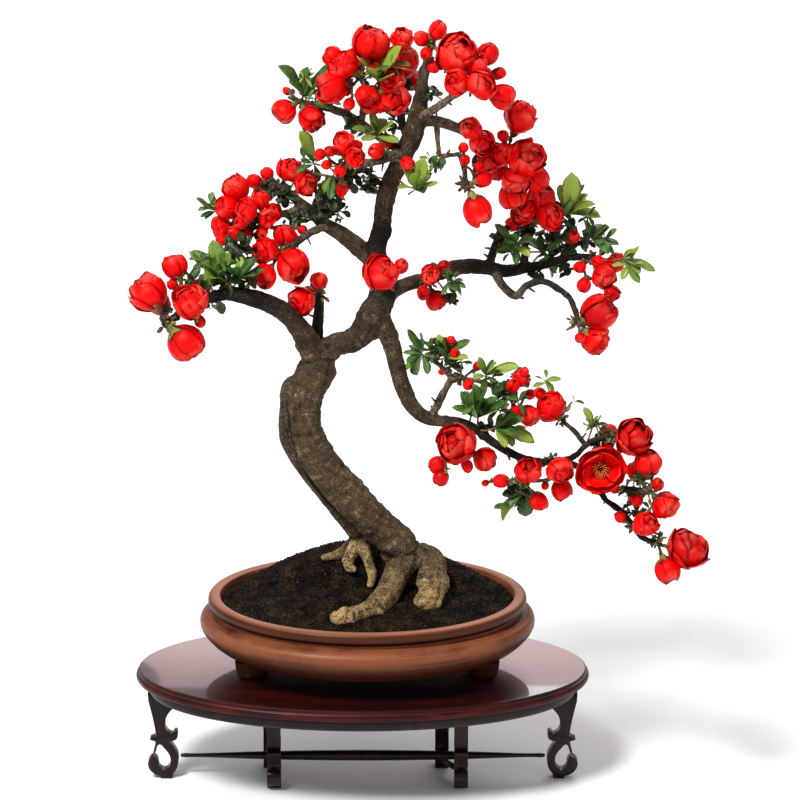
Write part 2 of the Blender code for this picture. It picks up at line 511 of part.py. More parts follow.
def cup(name, base, axis, roll, width, swell):
    """A half-open flower: five petals round a cup, each tucked under the next, and folded ones within."""
    radius = width / 2
    # (distance from the axis, height) of a petal's proud edge and of its tucked edge, row by row
    rows = [((0.80, 0.38), (0.66, 0.46)), ((1.06, 1.10), (0.86, 1.04)), ((0.72, 1.80), (0.60, 1.66))]
    if width > 31:
        rows.append(((0.38, 1.50), (0.46, 1.56)))
    if width < 25:
        rows = [((0.94, 0.60), (0.80, 0.66)), ((0.84, 1.62), (0.70, 1.50))]
    points = []
    for level, (proud, tucked) in enumerate(rows):
        for k in range(5):
            for turn, (out, up) in ((6, tucked), (54, proud)):
                angle = math.radians(72 * k + turn + 7 * level)
                out = out * radius + swell
                points.append(Vector((out * math.cos(angle), out * math.sin(angle), up * radius)))
    points.append(Vector((0, 0, -swell)))
    points.append(Vector((0, 0, (1.84 if width > 31 else 1.62) * radius + swell)))
    faces = capped_rows(len(rows), 10)
    return solid(name, [turned(p, axis, base, roll) for p in points], faces, STIR)


def capped_rows(rows, sides):
    """Faces of a closed shape of that many rings, with its low pole and its high pole after them."""
    faces = []
    low_pole, high_pole = rows * sides, rows * sides + 1
    for side in range(sides):
        nxt = (side + 1) % sides
        faces.append((low_pole, nxt, side))
        for level in range(rows - 1):
            low, high = level * sides, (level + 1) * sides
            faces.append((low + side, low + nxt, high + side))
            faces.append((low + nxt, high + nxt, high + side))
        last = (rows - 1) * sides
        faces.append((last + side, last + nxt, high_pole))
    return faces


def petal_blade(name, base, axis, roll, length, lean, swell):
    """A spread petal of an open flower: a cupped blade that leans out from the flower's axis."""
    half, thick = length * 0.46 + swell, PETAL_THICK / 2 + swell
    outline = [(-0.16, 0.0), (-1, 0.52), (-0.66, 0.95), (0.1, 1.02), (0.78, 0.9), (1, 0.48), (0.16, 0.0)]
    slant = math.radians(15)
    points = []
    for x, z in outline:
        x, z = x * half, z * length
        points.append(Vector((x, -0.16 * abs(x) + x * math.tan(slant) - 0.14 * z * z / length, z)))
    points.append(Vector((0, thick - 0.05 * length, 0.55 * length)))
    points.append(Vector((0, -thick - 0.05 * length, 0.55 * length)))
    tilt = Quaternion((1, 0, 0), -lean)
    points = [turned(tilt @ p, axis, base, roll) for p in points]
    count = len(outline)
    faces = [(k, (k + 1) % count, count) for k in range(count)]
    faces += [((k + 1) % count, k, count + 1) for k in range(count)]
    return solid(name, points, faces, STIR)


def bud(name, base, axis, width, swell):
    """A closed bud, a little longer than wide, with its petals folded round in three low swells."""
    half = width / 2
    rows = ((0.80, 0.50), (0.98, 1.22)) if width < 17 else ((0.72, 0.34), (1.0, 1.0), (0.66, 1.68))
    points = []
    for level, (out, up) in enumerate(rows):
        for side in range(6):
            turn = 2 * math.pi * side / 6 + 0.35 * level
            reach = half * out * (1.06 if side % 2 else 0.92) + swell
            points.append(Vector((reach * math.cos(turn), reach * math.sin(turn), up * half)))
    points += [Vector((0, 0, -swell)), Vector((0, 0, 2.1 * half + swell))]
    return solid(name, [turned(p, axis, base) for p in points], capped_rows(len(rows), 6), STIR)


def flower(name, kind, base, axis, width, roll, swell=0.0):
    """The pieces of one flower, which grows from its base along its axis."""
    if kind == "bud":
        return [bud(name, base, axis, width, swell)]
    if kind == "globe":
        return [cup(name, base, axis, roll, width, swell)]
    length = width * 0.56
    petals = []
    for k, (share, lean_deg) in enumerate(((0.96, 64), (1.03, 60), (0.92, 66), (1.0, 62), (1.06, 58))):
        petals.append(petal_blade(name, base, axis, roll + 2 * math.pi * k / 5, length * share,
                                  math.radians(lean_deg), swell))
    return petals + [ball(name, base + axis * 1.6, width * 0.12 + swell, 6, 4)]


def flower_base(kind, centre, grip, width, facing):
    """Where a flower's base sits and the way it looks, from its middle and the grip it grows from."""
    axis = Vector(facing).normalized() if facing else (centre - grip).normalized()
    depth = {"bud": 0.54, "globe": 0.5, "open": 0.3}[kind]
    return centre - axis * width * depth, axis


def wood_line():
    """Points along the middle of all the wood, each with the wood's radius there."""
    found = []
    for routes, place in ((TRUNK_ROUTES, spot), (LIMB_ROUTES, crown_spot), (BRANCH_ROUTES, crown_spot)):
        for knots in routes.values():
            for x, y, z, radius in spline([(*place(a, d, b), r) for a, d, b, r in knots], 4):
                found.append((Vector((x, y, z)), radius))
    return found


def collar(grip, line):
    """Radius of the knuckle at a grip: it goes round a thin twig, and only touches a thick limb."""
    off, radius = min(((grip - point).length, radius) for point, radius in line)
    return off + radius + COLLAR if radius < 4.6 and off < 4 else HUB


def perch(place, targets, line):
    """A grip moved out to the face of the wood, towards its flowers or leaves, if the wood is thick."""
    point, radius = min(line, key=lambda part: (place - part[0]).length - part[1])
    off = (place - point).length
    if radius < 4.6 or off > radius:
        return place
    way = sum(targets, Vector()) / len(targets) - point
    return point + way.normalized() * (radius + HUB * 0.55)


def blocked_by_wood(start, end, line, ends_free):
    """Whether a stalk from start to end would run through the wood, apart from its ends."""
    for share in (0.2, 0.35, 0.5, 0.65, 0.8):
        place = start.lerp(end, share)
        if min((place - start).length, (place - end).length) < ends_free:
            continue
        if any((place - point).length < radius + STALK for point, radius in line):
            return True
    return False


def links(spots, line):
    """Pairs of spots to join by a stalk, so that all hold together; a spot is (place, radius)."""
    joined, pairs = {0}, []
    while len(joined) < len(spots):
        best = None
        for a in joined:
            for b in range(len(spots)):
                if b in joined:
                    continue
                apart = (spots[a][0] - spots[b][0]).length - OVERLAP * (spots[a][1] + spots[b][1])
                if apart > 0 and blocked_by_wood(spots[a][0], spots[b][0], line, 5):
                    apart += 60
                if best is None or apart < best[0]:
                    best = (apart, a, b)
        joined.add(best[2])
        if best[0] > 0:
            pairs.append(best[1:])
    return pairs


def bunch(name, grips, flowers, line, swell=0.0):
    """One bunch: its flowers, each on a short stalk or set against its neighbour, fused in one solid."""
    middles = [crown_spot(*flower[1:4]) for flower in flowers]
    grips = [perch(crown_spot(*place), middles, line) for place in grips]
    spots = [(grip, collar(grip, line)) for grip in grips]
    pieces = [ball(name, grip, radius + swell, 5, 3) for grip, radius in spots]
    for kind, across, down, back, width, facing in flowers:
        centre = crown_spot(across, down, back)
        grip = min(grips, key=lambda place: (place - centre).length)
        base, axis = flower_base(kind, centre, grip, width, facing)
        inside = axis * {"globe": width * 0.5, "bud": width * 0.5, "open": 1.6}[kind]
        reach = width * {"globe": 0.44, "bud": 0.44, "open": 0.12}[kind]
        near = min(spots, key=lambda spot: (spot[0] - base - inside).length - OVERLAP * (spot[1] + reach))
        way = near[0] - base - inside
        apart = way.length - OVERLAP * (near[1] + reach)
        if 0 < apart < PULL:
            base += way.normalized() * (apart + 0.3)
        pieces += flower(name, kind, base, axis, width, across + down, swell)
        spots.append((base + inside, reach))
    for a, b in links(spots, line):
        start, end = spots[a][0], spots[b][0]
        pieces.append(tube(name, [(*start, STALK), (*end, STALK)], 3, 1, swell))
    return combined(pieces[0], pieces[1:], "UNION")


def lean(made, share):
    """Drops the slivers that fusing leaves, and a share of the points that matter least."""
    step = made.modifiers.new("lean", "DECIMATE")
    step.ratio = share
    graph = bpy.context.evaluated_depsgraph_get()
    graph.update()
    mesh = bpy.data.meshes.new_from_object(made.evaluated_get(graph))
    made.modifiers.clear()
    made.data = mesh
    return made


def tidied(made):
    """Drops loose scraps and edges too short to matter."""
    shape = bmesh.new()
    shape.from_mesh(made.data)
    bmesh.ops.dissolve_degenerate(shape, dist=0.00001, edges=shape.edges)
    bmesh.ops.triangulate(shape, faces=shape.faces)
    shape.to_mesh(made.data)
    shape.free()
    keep_largest(made.data)
    return made


def is_sound(mesh):
    """Whether every edge lies between two faces, also with points this close taken as one."""
    mesh.calc_loop_triangles()
    places, counts = {}, {}
    key = [tuple(round(c * 1000 / TOUCH) for c in v.co) for v in mesh.vertices]
    index = [places.setdefault(k, len(places)) for k in key]
    for face in mesh.loop_triangles:
        a, b, c = (index[v] for v in face.vertices)
        if a == b or b == c or a == c:
            continue
        for pair in ((a, b), (b, c), (c, a)):
            pair = (min(pair), max(pair))
            counts[pair] = counts.get(pair, 0) + 1
    return all(count == 2 for count in counts.values())


def first_sound(name, build):
    """The first sound mesh that build(name of the attempt) gives: each attempt is stirred differently."""
    for attempt in range(12):
        made = tidied(build(f"{name}_{attempt}"))
        if is_sound(made.data):
            break
        if attempt < 11:
            bpy.data.objects.remove(made)
        else:
            print("not sound", name)
    made.name = made.data.name = name
    return made


def leaf(name, root, tip, grow=1.0):
    """An obovate leaf, folded a little along its midrib, from its root to its tip."""
    along = tip - root
    length = along.length
    along.normalize()
    side = along.cross(Vector((0.0, -0.45, 1.0)))
    if side.length < 0.2:
        side = along.cross(Vector((1, 0, 0)))
    side.normalize()
    face = side.cross(along).normalized()
    half, thick = length * LEAF_WIDTH / 2 * grow, LEAF_THICK / 2 * grow
    outline = [(0.0, 0.0, 0.0), (0.42, 0.86, 1.0), (0.8, 0.82, 0.8), (1.0, 0.0, -0.5), (0.8, -0.82, 0.8),
               (0.42, -0.86, 1.0)]
    points = [root + along * (share * length) + side * (across * half) + face * (lift * 0.09 * length)
              for share, across, lift in outline]
    middle = root + along * (0.55 * length) + face * (0.04 * length)
    points += [middle + face * thick, middle - face * thick]
    faces = [(k, (k + 1) % 6, 6) for k in range(6)] + [((k + 1) % 6, k, 7) for k in range(6)]
    return solid(name, points, faces, STIR)


def tree_of(made):
    """A search tree over an object's faces."""
    points = [v.co.copy() for v in made.data.vertices]
    return BVHTree.FromPolygons(points, [tuple(p.vertices) for p in made.data.polygons])


def clear_leaf(name, root, tip, blocked, rng):
    """A leaf that touches nothing blocked: it is bent to one side, or shortened, until it is clear."""
    for attempt in range(14):
        reach = tip - root
        if attempt:
            axis = Vector((rng.uniform(-1, 1), rng.uniform(-1, 1), rng.uniform(-1, 1))).normalized()
            turn = Quaternion(axis, math.radians(9 * attempt * 0.6))
            reach = turn @ reach * (1 - 0.025 * attempt)
        trial = leaf(name, root, root + reach, 1.25)
        overlap = any(tree.overlap(tree_of(trial)) for tree in blocked)
        bpy.data.objects.remove(trial)
        if not overlap:
            return leaf(name, root, root + reach)
    print("no room for a leaf of", name)
    return None


def spray(name, place, rosettes, blocked, line):
    """One leafy spray: a green shoot to each rosette, and its leaves, fused in one solid."""
    rng = random.Random(name)
    start = perch(crown_spot(*place), [crown_spot(*rosette[:3]) for rosette in rosettes], line)
    pieces = [ball(name, start, collar(start, line), 5, 3)]
    for across, down, back, tips in rosettes:
        hub = crown_spot(across, down, back)
        pieces.append(ball(name, hub, HUB, 4, 2))
        bend = (start + hub) / 2 + Vector((0, 0, -0.08 * (hub - start).length))
        pieces.append(tube(name, [(*start, SHOOT), (*bend, SHOOT), (*hub, SHOOT)], 3, 1))
        for tip in tips:
            end = crown_spot(*tip)
            root = hub + (end - hub).normalized() * 1.2
            made = clear_leaf(name, root, end, blocked, rng)
            if made:
                pieces.append(made)
    return combined(pieces[0], pieces[1:], "UNION")


def wood(name, swell=0.0):
    """The whole tree without leaves and flowers: roots, trunk, limbs and twigs."""
    pieces = []
    for routes, place, sides in ((TRUNK_ROUTES, spot, 8), (LIMB_ROUTES, crown_spot, 6),
                                 (BRANCH_ROUTES, crown_spot, 4)):
        for route, knots in routes.items():
            points = [(*place(a, d, b), r * 1.04) for a, d, b, r in knots]
            stout = route in ("stump", "trunk")
            pieces.append(tube(name.replace("cutter", "tree_wood_0") + route, points,
                               11 if stout else sides, 2 if stout else 1, swell))
    return combined(pieces[0], pieces[1:], "UNION")


def oval_loft(name, half, middle, profile, bottom=0.0):
    """A solid turned on an oval about a middle (x, y): the profile is (inset, height)."""
    rings = []
    for inset, height in profile:
        ring = []
        for k in range(OVAL_SIDES):
            turn = 2 * math.pi * k / OVAL_SIDES
            ring.append(Vector((middle[0] + (half[0] - inset) * math.cos(turn),
                                middle[1] + (half[1] - inset) * math.sin(turn), bottom + height)))
        rings.append(ring)
    return loft(name, rings)


def stand_board():
    """The moulded oval board that the pot stands on."""
    thick = BOARD_THICK
    profile = [(9, 0), (1.4, 1.2), (0, 5.5), (1.0, 8.6), (3.4, 9.8), (3.8, thick)]
    return oval_loft("stand_board", BOARD_HALF, (STAND_X, STAND_Y), profile, BOARD_TOP - thick)


def stand_under():
    """The lower board, which holds the legs."""
    profile = [(UNDER_INSET + 5, 0), (UNDER_INSET, 4), (UNDER_INSET, UNDER_THICK - GAP)]
    foot = BOARD_TOP - BOARD_THICK - UNDER_THICK
    return oval_loft("stand_under", BOARD_HALF, (STAND_X, STAND_Y), profile, foot)


def leg(name, place, turn):
    """A scroll leg, cut from a plank, that stands radially under the board."""
    top = BOARD_TOP - BOARD_THICK - UNDER_THICK - GAP
    stretch = top / LEG_OUTLINE[0][1]
    outline = [(-out, up * stretch if up > 60 else up) for out, up in LEG_OUTLINE]
    count = len(outline)
    way = Matrix.Rotation(turn, 3, "Z")
    points = []
    for side in (-LEG_THICK / 2, LEG_THICK / 2):
        points += [Vector(place) + way @ Vector((out, side, up)) for out, up in outline]
    faces = [tuple(range(count)), tuple(range(2 * count - 1, count - 1, -1))]
    faces += [(k, (k + 1) % count, count + (k + 1) % count, count + k) for k in range(count)]
    return solid(name, points, faces)


def stand_legs():
    """Two end legs, and two in front and behind, all facing out."""
    places = {"leg_left": ((-END_LEG_REACH, 0), 180), "leg_right": ((END_LEG_REACH, 0), 0)}
    for side, (front, back) in SIDE_LEGS.items():
        places["leg_front_" + side] = ((front, -SIDE_LEG_REACH), -90)
        places["leg_back_" + side] = ((back, SIDE_LEG_REACH), 90)
    return [leg(name, (STAND_X + x, STAND_Y + y, 0), math.radians(turn))
            for name, ((x, y), turn) in places.items()]


def rail(name, start, end, radius):
    """A spindle rail: thick in its middle and thin at its ends."""
    marks = [(0, 0.34), (0.08, 0.42), (0.26, 0.8), (0.5, 1.0), (0.74, 0.8), (0.92, 0.42), (1, 0.34)]
    start, end = Vector(start), Vector(end)
    return tube(name, [(*start.lerp(end, share), radius * scale) for share, scale in marks], 6, 1)


def stand_rails():
    """One long rail between the end legs, and a cross rail under it between each pair of side legs."""
    reach = END_LEG_REACH - LEG_WAIST - GAP
    ends = [(STAND_X + sign * reach, STAND_Y, RAIL_HEIGHT) for sign in (-1, 1)]
    rails = [rail("rail_long", *ends, RAIL_RADIUS)]
    low = RAIL_HEIGHT - RAIL_RADIUS - CROSS_RAIL_RADIUS - 2 * GAP - 1.2
    deep = SIDE_LEG_REACH - LEG_FOOT_WAIST - 2 * GAP
    for side, (front, back) in SIDE_LEGS.items():
        ends = [(STAND_X + front, STAND_Y - deep, low), (STAND_X + back, STAND_Y + deep, low)]
        rails.append(rail("rail_cross_" + side, *ends, CROSS_RAIL_RADIUS))
    return rails


def pot(name):
    """The oval pot: four feet, a full belly, a grooved neck and a rolled rim, hollow for the soil."""
    outside = [(50, 13.5), (33, 17.5), (17, 25.5), (5.5, 36.5), (0.6, 45), (1.2, 52.5), (6.5, 57.8), (14, 60.2),
               (16.2, 64.2), (10.2, 66.2), (8.8, 69.5), (9.2, 73.6), (11.8, POT_HEIGHT)]
    inside = [(20, POT_HEIGHT), (23, 66), (28, 32), (48, 19)]
    made = oval_loft(name, POT_HALF, (POT_X, POT_Y), outside + inside, BOARD_TOP + GAP)
    feet = []
    for x in (-POT_FOOT[0], POT_FOOT[0]):
        for y in (-POT_FOOT[1], POT_FOOT[1]):
            rings = []
            for inset, height in ((3, 0), (0, 4), (-1, 16)):
                ring = []
                for k in range(8):
                    turn = 2 * math.pi * (k + 0.5) / 8
                    ring.append(Vector((POT_X + x + (15 - inset) * math.cos(turn),
                                        POT_Y + y + (9 - inset) * math.sin(turn), BOARD_TOP + GAP + height)))
                rings.append(ring)
            feet.append(loft(name + "_foot", rings, STIR))
    return combined(made, feet, "UNION")


def soil_height(share, turn):
    """Height of the mounded soil above its edge: share 0 is the middle and 1 the pot's wall."""
    lumps = 1.1 * math.sin(3 * turn + 9 * share) + 0.8 * math.sin(5 * turn - 7 * share + 1)
    behind = SOIL_BACK * max(0.0, math.sin(turn)) * 4 * share * (1 - share)
    return SOIL_MOUND * (1 - share ** 2.4) + behind + lumps * (1 - share)


def soil(name, roots):
    """The soil, a little under the rim and mounded to the trunk, with holes where the roots go in."""
    wall = [(48 + GAP + 1.2, 19 + GAP), (28 + GAP + 1, 32 + GAP), (23 + GAP, 66)]
    half = [size - wall[-1][0] for size in POT_HALF]
    levels = [([size - inset for size in POT_HALF], height, None) for inset, height in wall]
    levels += [([size * share for size in half], SOIL_EDGE, share) for share in SOIL_SHARES]
    rings = []
    for (wide, deep), height, share in levels:
        ring = []
        for k in range(OVAL_SIDES):
            turn = 2 * math.pi * k / OVAL_SIDES
            rise = height if share is None else height + soil_height(share, turn)
            ring.append(Vector((POT_X + wide * math.cos(turn), POT_Y + deep * math.sin(turn),
                                BOARD_TOP + GAP + rise)))
        rings.append(ring)
    return combined(loft(name, rings, STIR), [roots], "DIFFERENCE")


def copy_of(made):
    """A copy of an object with its own mesh."""
    other = made.copy()
    other.data = made.data.copy()
    bpy.context.scene.collection.objects.link(other)
    return other


def copies_near(taken, made):
    """Copies of the pieces that a new one runs into."""
    return [copy_of(piece) for piece in taken if tree_of(piece).overlap(tree_of(made))]


def main():
    """Builds every piece, each clear of the others."""
    for old in list(bpy.data.objects):
        bpy.data.objects.remove(old)
    finish(first_sound("tree_wood", wood), "bark", smooth=True)
    cutter = wood("cutter", GAP)
    finish(stand_board(), "lacquer", smooth=True)
    finish(stand_under(), "lacquer", smooth=True)
    for made in stand_legs() + stand_rails():
        finish(made, "lacquer", smooth=True)
    finish(first_sound("pot", pot), "clay", smooth=True)
    finish(first_sound("soil", lambda name: soil(name, copy_of(cutter))), "soil", smooth=True)
    blocked, taken, line = [tree_of(cutter)], [], wood_line()
    for name, grips, flowers in BUNCHES:
        def grown(attempt):
            made = lean(bunch(attempt, grips, flowers, line), LEAN_BUNCH)
            return combined(made, [copy_of(cutter)] + copies_near(taken, made), "DIFFERENCE")
        made = finish(first_sound(name, grown), "petal")
        swollen = bunch(name + "_swollen", grips, flowers, line, CLEAR)
        blocked.append(tree_of(swollen))
        taken += [swollen, copy_of(made)]
    for name, place, rosettes in SPRAYS:
        def leafed(attempt):
            made = lean(spray(attempt, place, rosettes, blocked, line), LEAN_SPRAY)
            return combined(made, [copy_of(cutter)] + copies_near(taken, made), "DIFFERENCE")
        blocked.append(tree_of(finish(first_sound(name, leafed), "leaf")))
    for helper in taken + [cutter]:
        bpy.data.objects.remove(helper)


main()
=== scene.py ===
"""The looks of a flowering quince bonsai in its oval clay pot, on a lacquered wooden stand.

The tree is styled for one front view, so its routes, flowers and leaves keep the places that the
part's source gives them on a front drawing: millimetres across from the drawing's left edge,
millimetres down from its top edge, and millimetres behind the plane of the trunk. Meshes are
worked out in millimetres and turned into metres when a piece is made.
"""

import logging
import math
import random
from collections.abc import Sequence
from dataclasses import dataclass, field
from enum import Enum
from typing import NamedTuple

import bpy
import numpy as np
from bpy.types import Material, Mesh, Node, NodeSocket, NodeTree, Object
from mathutils import Matrix, Quaternion, Vector, noise
from mathutils.kdtree import KDTree


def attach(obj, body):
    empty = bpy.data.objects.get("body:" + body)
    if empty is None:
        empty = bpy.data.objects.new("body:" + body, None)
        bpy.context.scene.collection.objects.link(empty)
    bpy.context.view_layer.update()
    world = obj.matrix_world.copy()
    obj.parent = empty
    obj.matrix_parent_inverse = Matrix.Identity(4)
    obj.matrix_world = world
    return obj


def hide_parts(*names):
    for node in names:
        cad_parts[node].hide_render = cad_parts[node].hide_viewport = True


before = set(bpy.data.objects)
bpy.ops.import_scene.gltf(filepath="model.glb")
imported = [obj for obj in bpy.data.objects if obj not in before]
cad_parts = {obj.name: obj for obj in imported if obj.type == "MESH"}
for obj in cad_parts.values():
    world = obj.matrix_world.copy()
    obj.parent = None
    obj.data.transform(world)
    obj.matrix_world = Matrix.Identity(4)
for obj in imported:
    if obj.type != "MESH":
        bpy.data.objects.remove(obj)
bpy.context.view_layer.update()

LOG = logging.getLogger("bonsai")
MM = 0.001
Number = float | int
Pair = tuple[float, float]
Triple = tuple[float, float, float]
Colour = Triple

# The front drawing
VIEW_RISE = math.radians(18)   # how far the view looks down
VIEW_REACH = 5000.0            # distance from the eye to the trunk's plane
VIEW_MIDDLE = 400.0            # middle of the drawing, across and down
VIEW_CENTRE = Vector((-13.0, 3.0, 402.0))
CROWN_DEPTH = 1.5              # the crown is this much deeper than the tables' figures

# Sizes shared by the tree's pieces
THICK_WOOD = 3.3               # wood thicker than this radius is fused into one skin
STALK = 1.1                    # radius of a flower stalk
PETAL_THICK = 0.45
LEAF_THICK = 0.5
SHOOT = 1.0                    # radius of a green shoot
LEAF_WIDTH = 0.43              # of the leaf's length
GOLDEN_TURN = 2.39996          # radians between one stamen and the next
FLOWER_FIT = 0.95              # a flower's drawn width, as a share of the table's: its rim waves out
FAR = 99.0                     # stands for the distance of a limb that isn't near

# Wood: each route from its root to its tip, as (across, down, back, radius)
TRUNK_ROUTES = {
    "stump": [(408, 602, 26, 15), (407, 584, 22, 16), (405, 566, 12, 17), (397, 549, 5, 17.5)],
    "trunk": [(404, 557, 5, 19), (395, 541, 4, 17.6), (373, 520, 2, 17), (354, 500, 0, 18),
        (335, 480, -1, 17.4), (320, 460, -2, 17), (309, 441, -1, 16.6), (304, 420, 0, 16),
        (303, 402, 2, 17), (309, 384, 3, 18), (320, 365, 3, 18.4)],
    "strand": [(299, 379, 4, 5), (291, 383, 5, 6.6), (286, 393, 6, 6.2), (284.5, 408, 8, 5),
        (283.5, 425, 9, 5), (286, 441, 9, 5.4), (295, 457, 9, 6), (306, 473, 10, 6), (319, 490, 12, 5.6),
        (333, 507, 14, 6), (347, 523, 18, 7), (358, 538, 20, 8.6), (349, 549, 22, 7.6), (337, 555, 25, 5),
        (323, 558, 26, 3.4)],
    "front_root": [(404, 560, 0, 16), (397, 574, -14, 12.5), (389, 590, -33, 12), (379, 605, -51, 12),
        (366, 613, -64, 9.6), (350, 617, -75, 8.6), (339, 618, -81, 6.6)],
    "right_root": [(418, 556, 6, 15), (432, 564, 0, 14), (434, 579, -16, 12), (431, 594, -34, 11.5),
        (426, 605, -48, 9.5)],
    "left_root": [(359, 541, 18, 8.6), (352, 552, 14, 6.8), (348, 562, 9, 5.2), (351, 570, 5, 3.6)],
    "thin_root": [(363, 548, 9, 6.4), (369, 562, 3, 4.8), (372, 575, -3, 4.4), (371, 586, -8, 3.4)],
    "back_root": [(408, 556, 22, 14), (417, 557, 42, 9.4), (423, 567, 58, 5.6)],
}
LIMB_ROUTES = {
    "leader": [(317, 362, 3, 15), (333, 346, 2, 11.8), (347, 342, 0, 11.2), (361, 334, 0, 12.5),
        (372, 317, 0, 14.5), (381, 300, 2, 13), (383, 284, 5, 12), (378, 267, 6, 11), (376, 250, 6, 10),
        (381, 230, 6, 9), (384, 208, 6, 9), (388, 190, 6, 9), (395, 172, 6, 9), (405, 152, 5, 9.5),
        (412, 136, 4, 10), (417, 118, 3, 9.5), (421, 98, 2, 7), (423, 80, 0, 5), (427, 60, 0, 3),
        (431, 46, 0, 2)],
    "left_limb": [(318, 363, 3, 14), (308, 342, -2, 11.5), (295, 323, -10, 9.5), (279, 309, -18, 9),
        (262, 301, -26, 8.5), (245, 296, -32, 8), (228, 294, -38, 6.6), (212, 297, -44, 5),
        (196, 301, -49, 3.4), (181, 312, -54, 2.6), (166, 322, -57, 2)],
    "left_riser": [(312, 352, 6, 9), (317, 330, 8, 6.2), (319, 308, 8, 5), (320, 292, 8, 3.6)],
    "second_limb": [(375, 262, 6, 9.5), (358, 247, 10, 8.5), (340, 233, 14, 7.5), (323, 223, 18, 6.4),
        (307, 208, 22, 5.4), (293, 197, 26, 4.4), (280, 186, 29, 3.2)],
    "cascade": [(380, 318, 0, 10), (389, 337, -4, 9), (396, 362, -10, 8.4), (402, 384, -16, 8),
        (411, 404, -22, 7.4), (425, 417, -28, 6.4), (441, 421, -32, 5.4), (458, 422, -36, 4.8),
        (474, 428, -40, 4.4), (490, 440, -44, 4.2), (507, 451, -48, 4), (525, 459, -52, 3.8),
        (543, 462, -54, 3.5), (562, 461, -56, 3.2), (580, 468, -58, 2.9), (594, 482, -60, 2.7),
        (606, 500, -62, 2.5), (621, 511, -64, 2.3), (632, 525, -66, 2.1), (643, 538, -68, 1.9),
        (657, 542, -70, 1.7)],
    "middle_limb": [(383, 302, 4, 9), (393, 291, 10, 7.6), (408, 284, 18, 7), (427, 279, 24, 7),
        (447, 270, 30, 7.4), (467, 266, 34, 7.4), (488, 268, 38, 7), (507, 271, 42, 6.2),
        (525, 268, 44, 5.4), (542, 265, 44, 4.6), (558, 260, 42, 3.8), (576, 257, 40, 3),
        (598, 258, 36, 2.4)],
}
BRANCH_ROUTES = {
    "second_low": [(334, 229, 16, 4.6), (320, 228, 12, 3.6), (306, 235, 8, 3.2), (292, 246, 4, 2.8),
        (282, 252, 2, 2.2)],
    "second_left": [(304, 206, 23, 3.8), (289, 212, 22, 3.2), (274, 216, 20, 2.6), (261, 217, 18, 2.1)],
    "short_left": [(408, 154, 4, 6), (396, 154, 0, 4.8), (384, 159, -4, 4.2), (369, 163, -8, 3.2),
        (346, 159, -13, 2.2)],
    "upper_left": [(407, 158, 8, 5), (390, 143, 14, 4.6), (371, 131, 18, 4.6), (356, 120, 22, 4.2),
        (341, 112, 26, 3.8), (325, 107, 30, 3.2), (311, 104, 31, 2.6), (299, 101, 32, 2)],
    "upper_riser": [(362, 125, 20, 3.2), (363, 107, 18, 3), (365, 90, 16, 2.6), (361, 77, 14, 2)],
    "stub": [(410, 142, 8, 4.6), (403, 125, 16, 3.8), (400, 110, 22, 3), (399, 97, 24, 2.2)],
    "upper_right": [(419, 118, 0, 5), (433, 110, -6, 4), (446, 101, -12, 3.4), (458, 93, -17, 2.8),
        (468, 87, -20, 2.2)],
    "right_top": [(418, 121, 2, 6), (436, 121, 8, 5.4), (455, 127, 14, 4.8), (474, 136, 20, 3.8),
        (492, 144, 24, 3), (508, 148, 26, 2.2)],
    "right_top_twig": [(437, 122, 8, 2.6), (438, 143, 4, 2.2), (441, 156, 2, 2.1), (452, 155, 4, 2),
        (460, 156, 4, 2), (464, 170, 2, 1.9), (467, 184, 0, 1.7)],
    "middle_riser": [(489, 267, 38, 4.6), (494, 249, 35, 4), (500, 235, 31, 3.2), (508, 228, 30, 2.4)],
    "middle_riser_far": [(524, 268, 44, 4), (525, 249, 46, 3.2), (528, 234, 43, 2.6), (531, 223, 40, 2)],
    "middle_outer": [(540, 265, 44, 3.2), (553, 254, 50, 2.8), (567, 246, 54, 2.3), (584, 242, 54, 1.8)],
    "middle_low": [(494, 270, 38, 4.8), (503, 286, 34, 4.2), (516, 296, 30, 4), (526, 286, 26, 3.5),
        (541, 281, 22, 3.2), (557, 288, 16, 2.8), (570, 299, 10, 2.5), (576, 313, 6, 2.2),
        (578, 324, 4, 2)],
    "cascade_riser": [(431, 418, -30, 4), (438, 404, -26, 3.4), (445, 390, -22, 3), (452, 377, -18, 2.6)],
    "cascade_left": [(452, 379, -19, 2.5), (441, 366, -15, 2.1), (428, 358, -12, 1.7)],
    "cascade_right": [(451, 377, -18, 2.5), (466, 379, -21, 2.1), (482, 382, -23, 1.9),
        (497, 389, -27, 1.8), (509, 398, -31, 1.7)],
    "cascade_outer": [(562, 461, -56, 2.8), (575, 456, -55, 2.6), (585, 446, -53, 2.4),
        (597, 439, -53, 2.2), (612, 437, -54, 1.9)],
    "cascade_spine": [(586, 446, -53, 2.2), (575, 432, -49, 2), (565, 423, -45, 1.8), (559, 417, -43, 1.6)],
    "cascade_end": [(600, 492, -61, 2.3), (614, 489, -60, 2.1), (631, 489, -60, 1.9), (647, 490, -62, 1.7)],
    "drop_inner": [(456, 422, -36, 2.4), (458, 436, -43, 2), (460, 448, -49, 1.8)],
    "drop_middle": [(519, 457, -51, 2.2), (521, 469, -55, 1.9), (524, 480, -58, 1.7)],
}

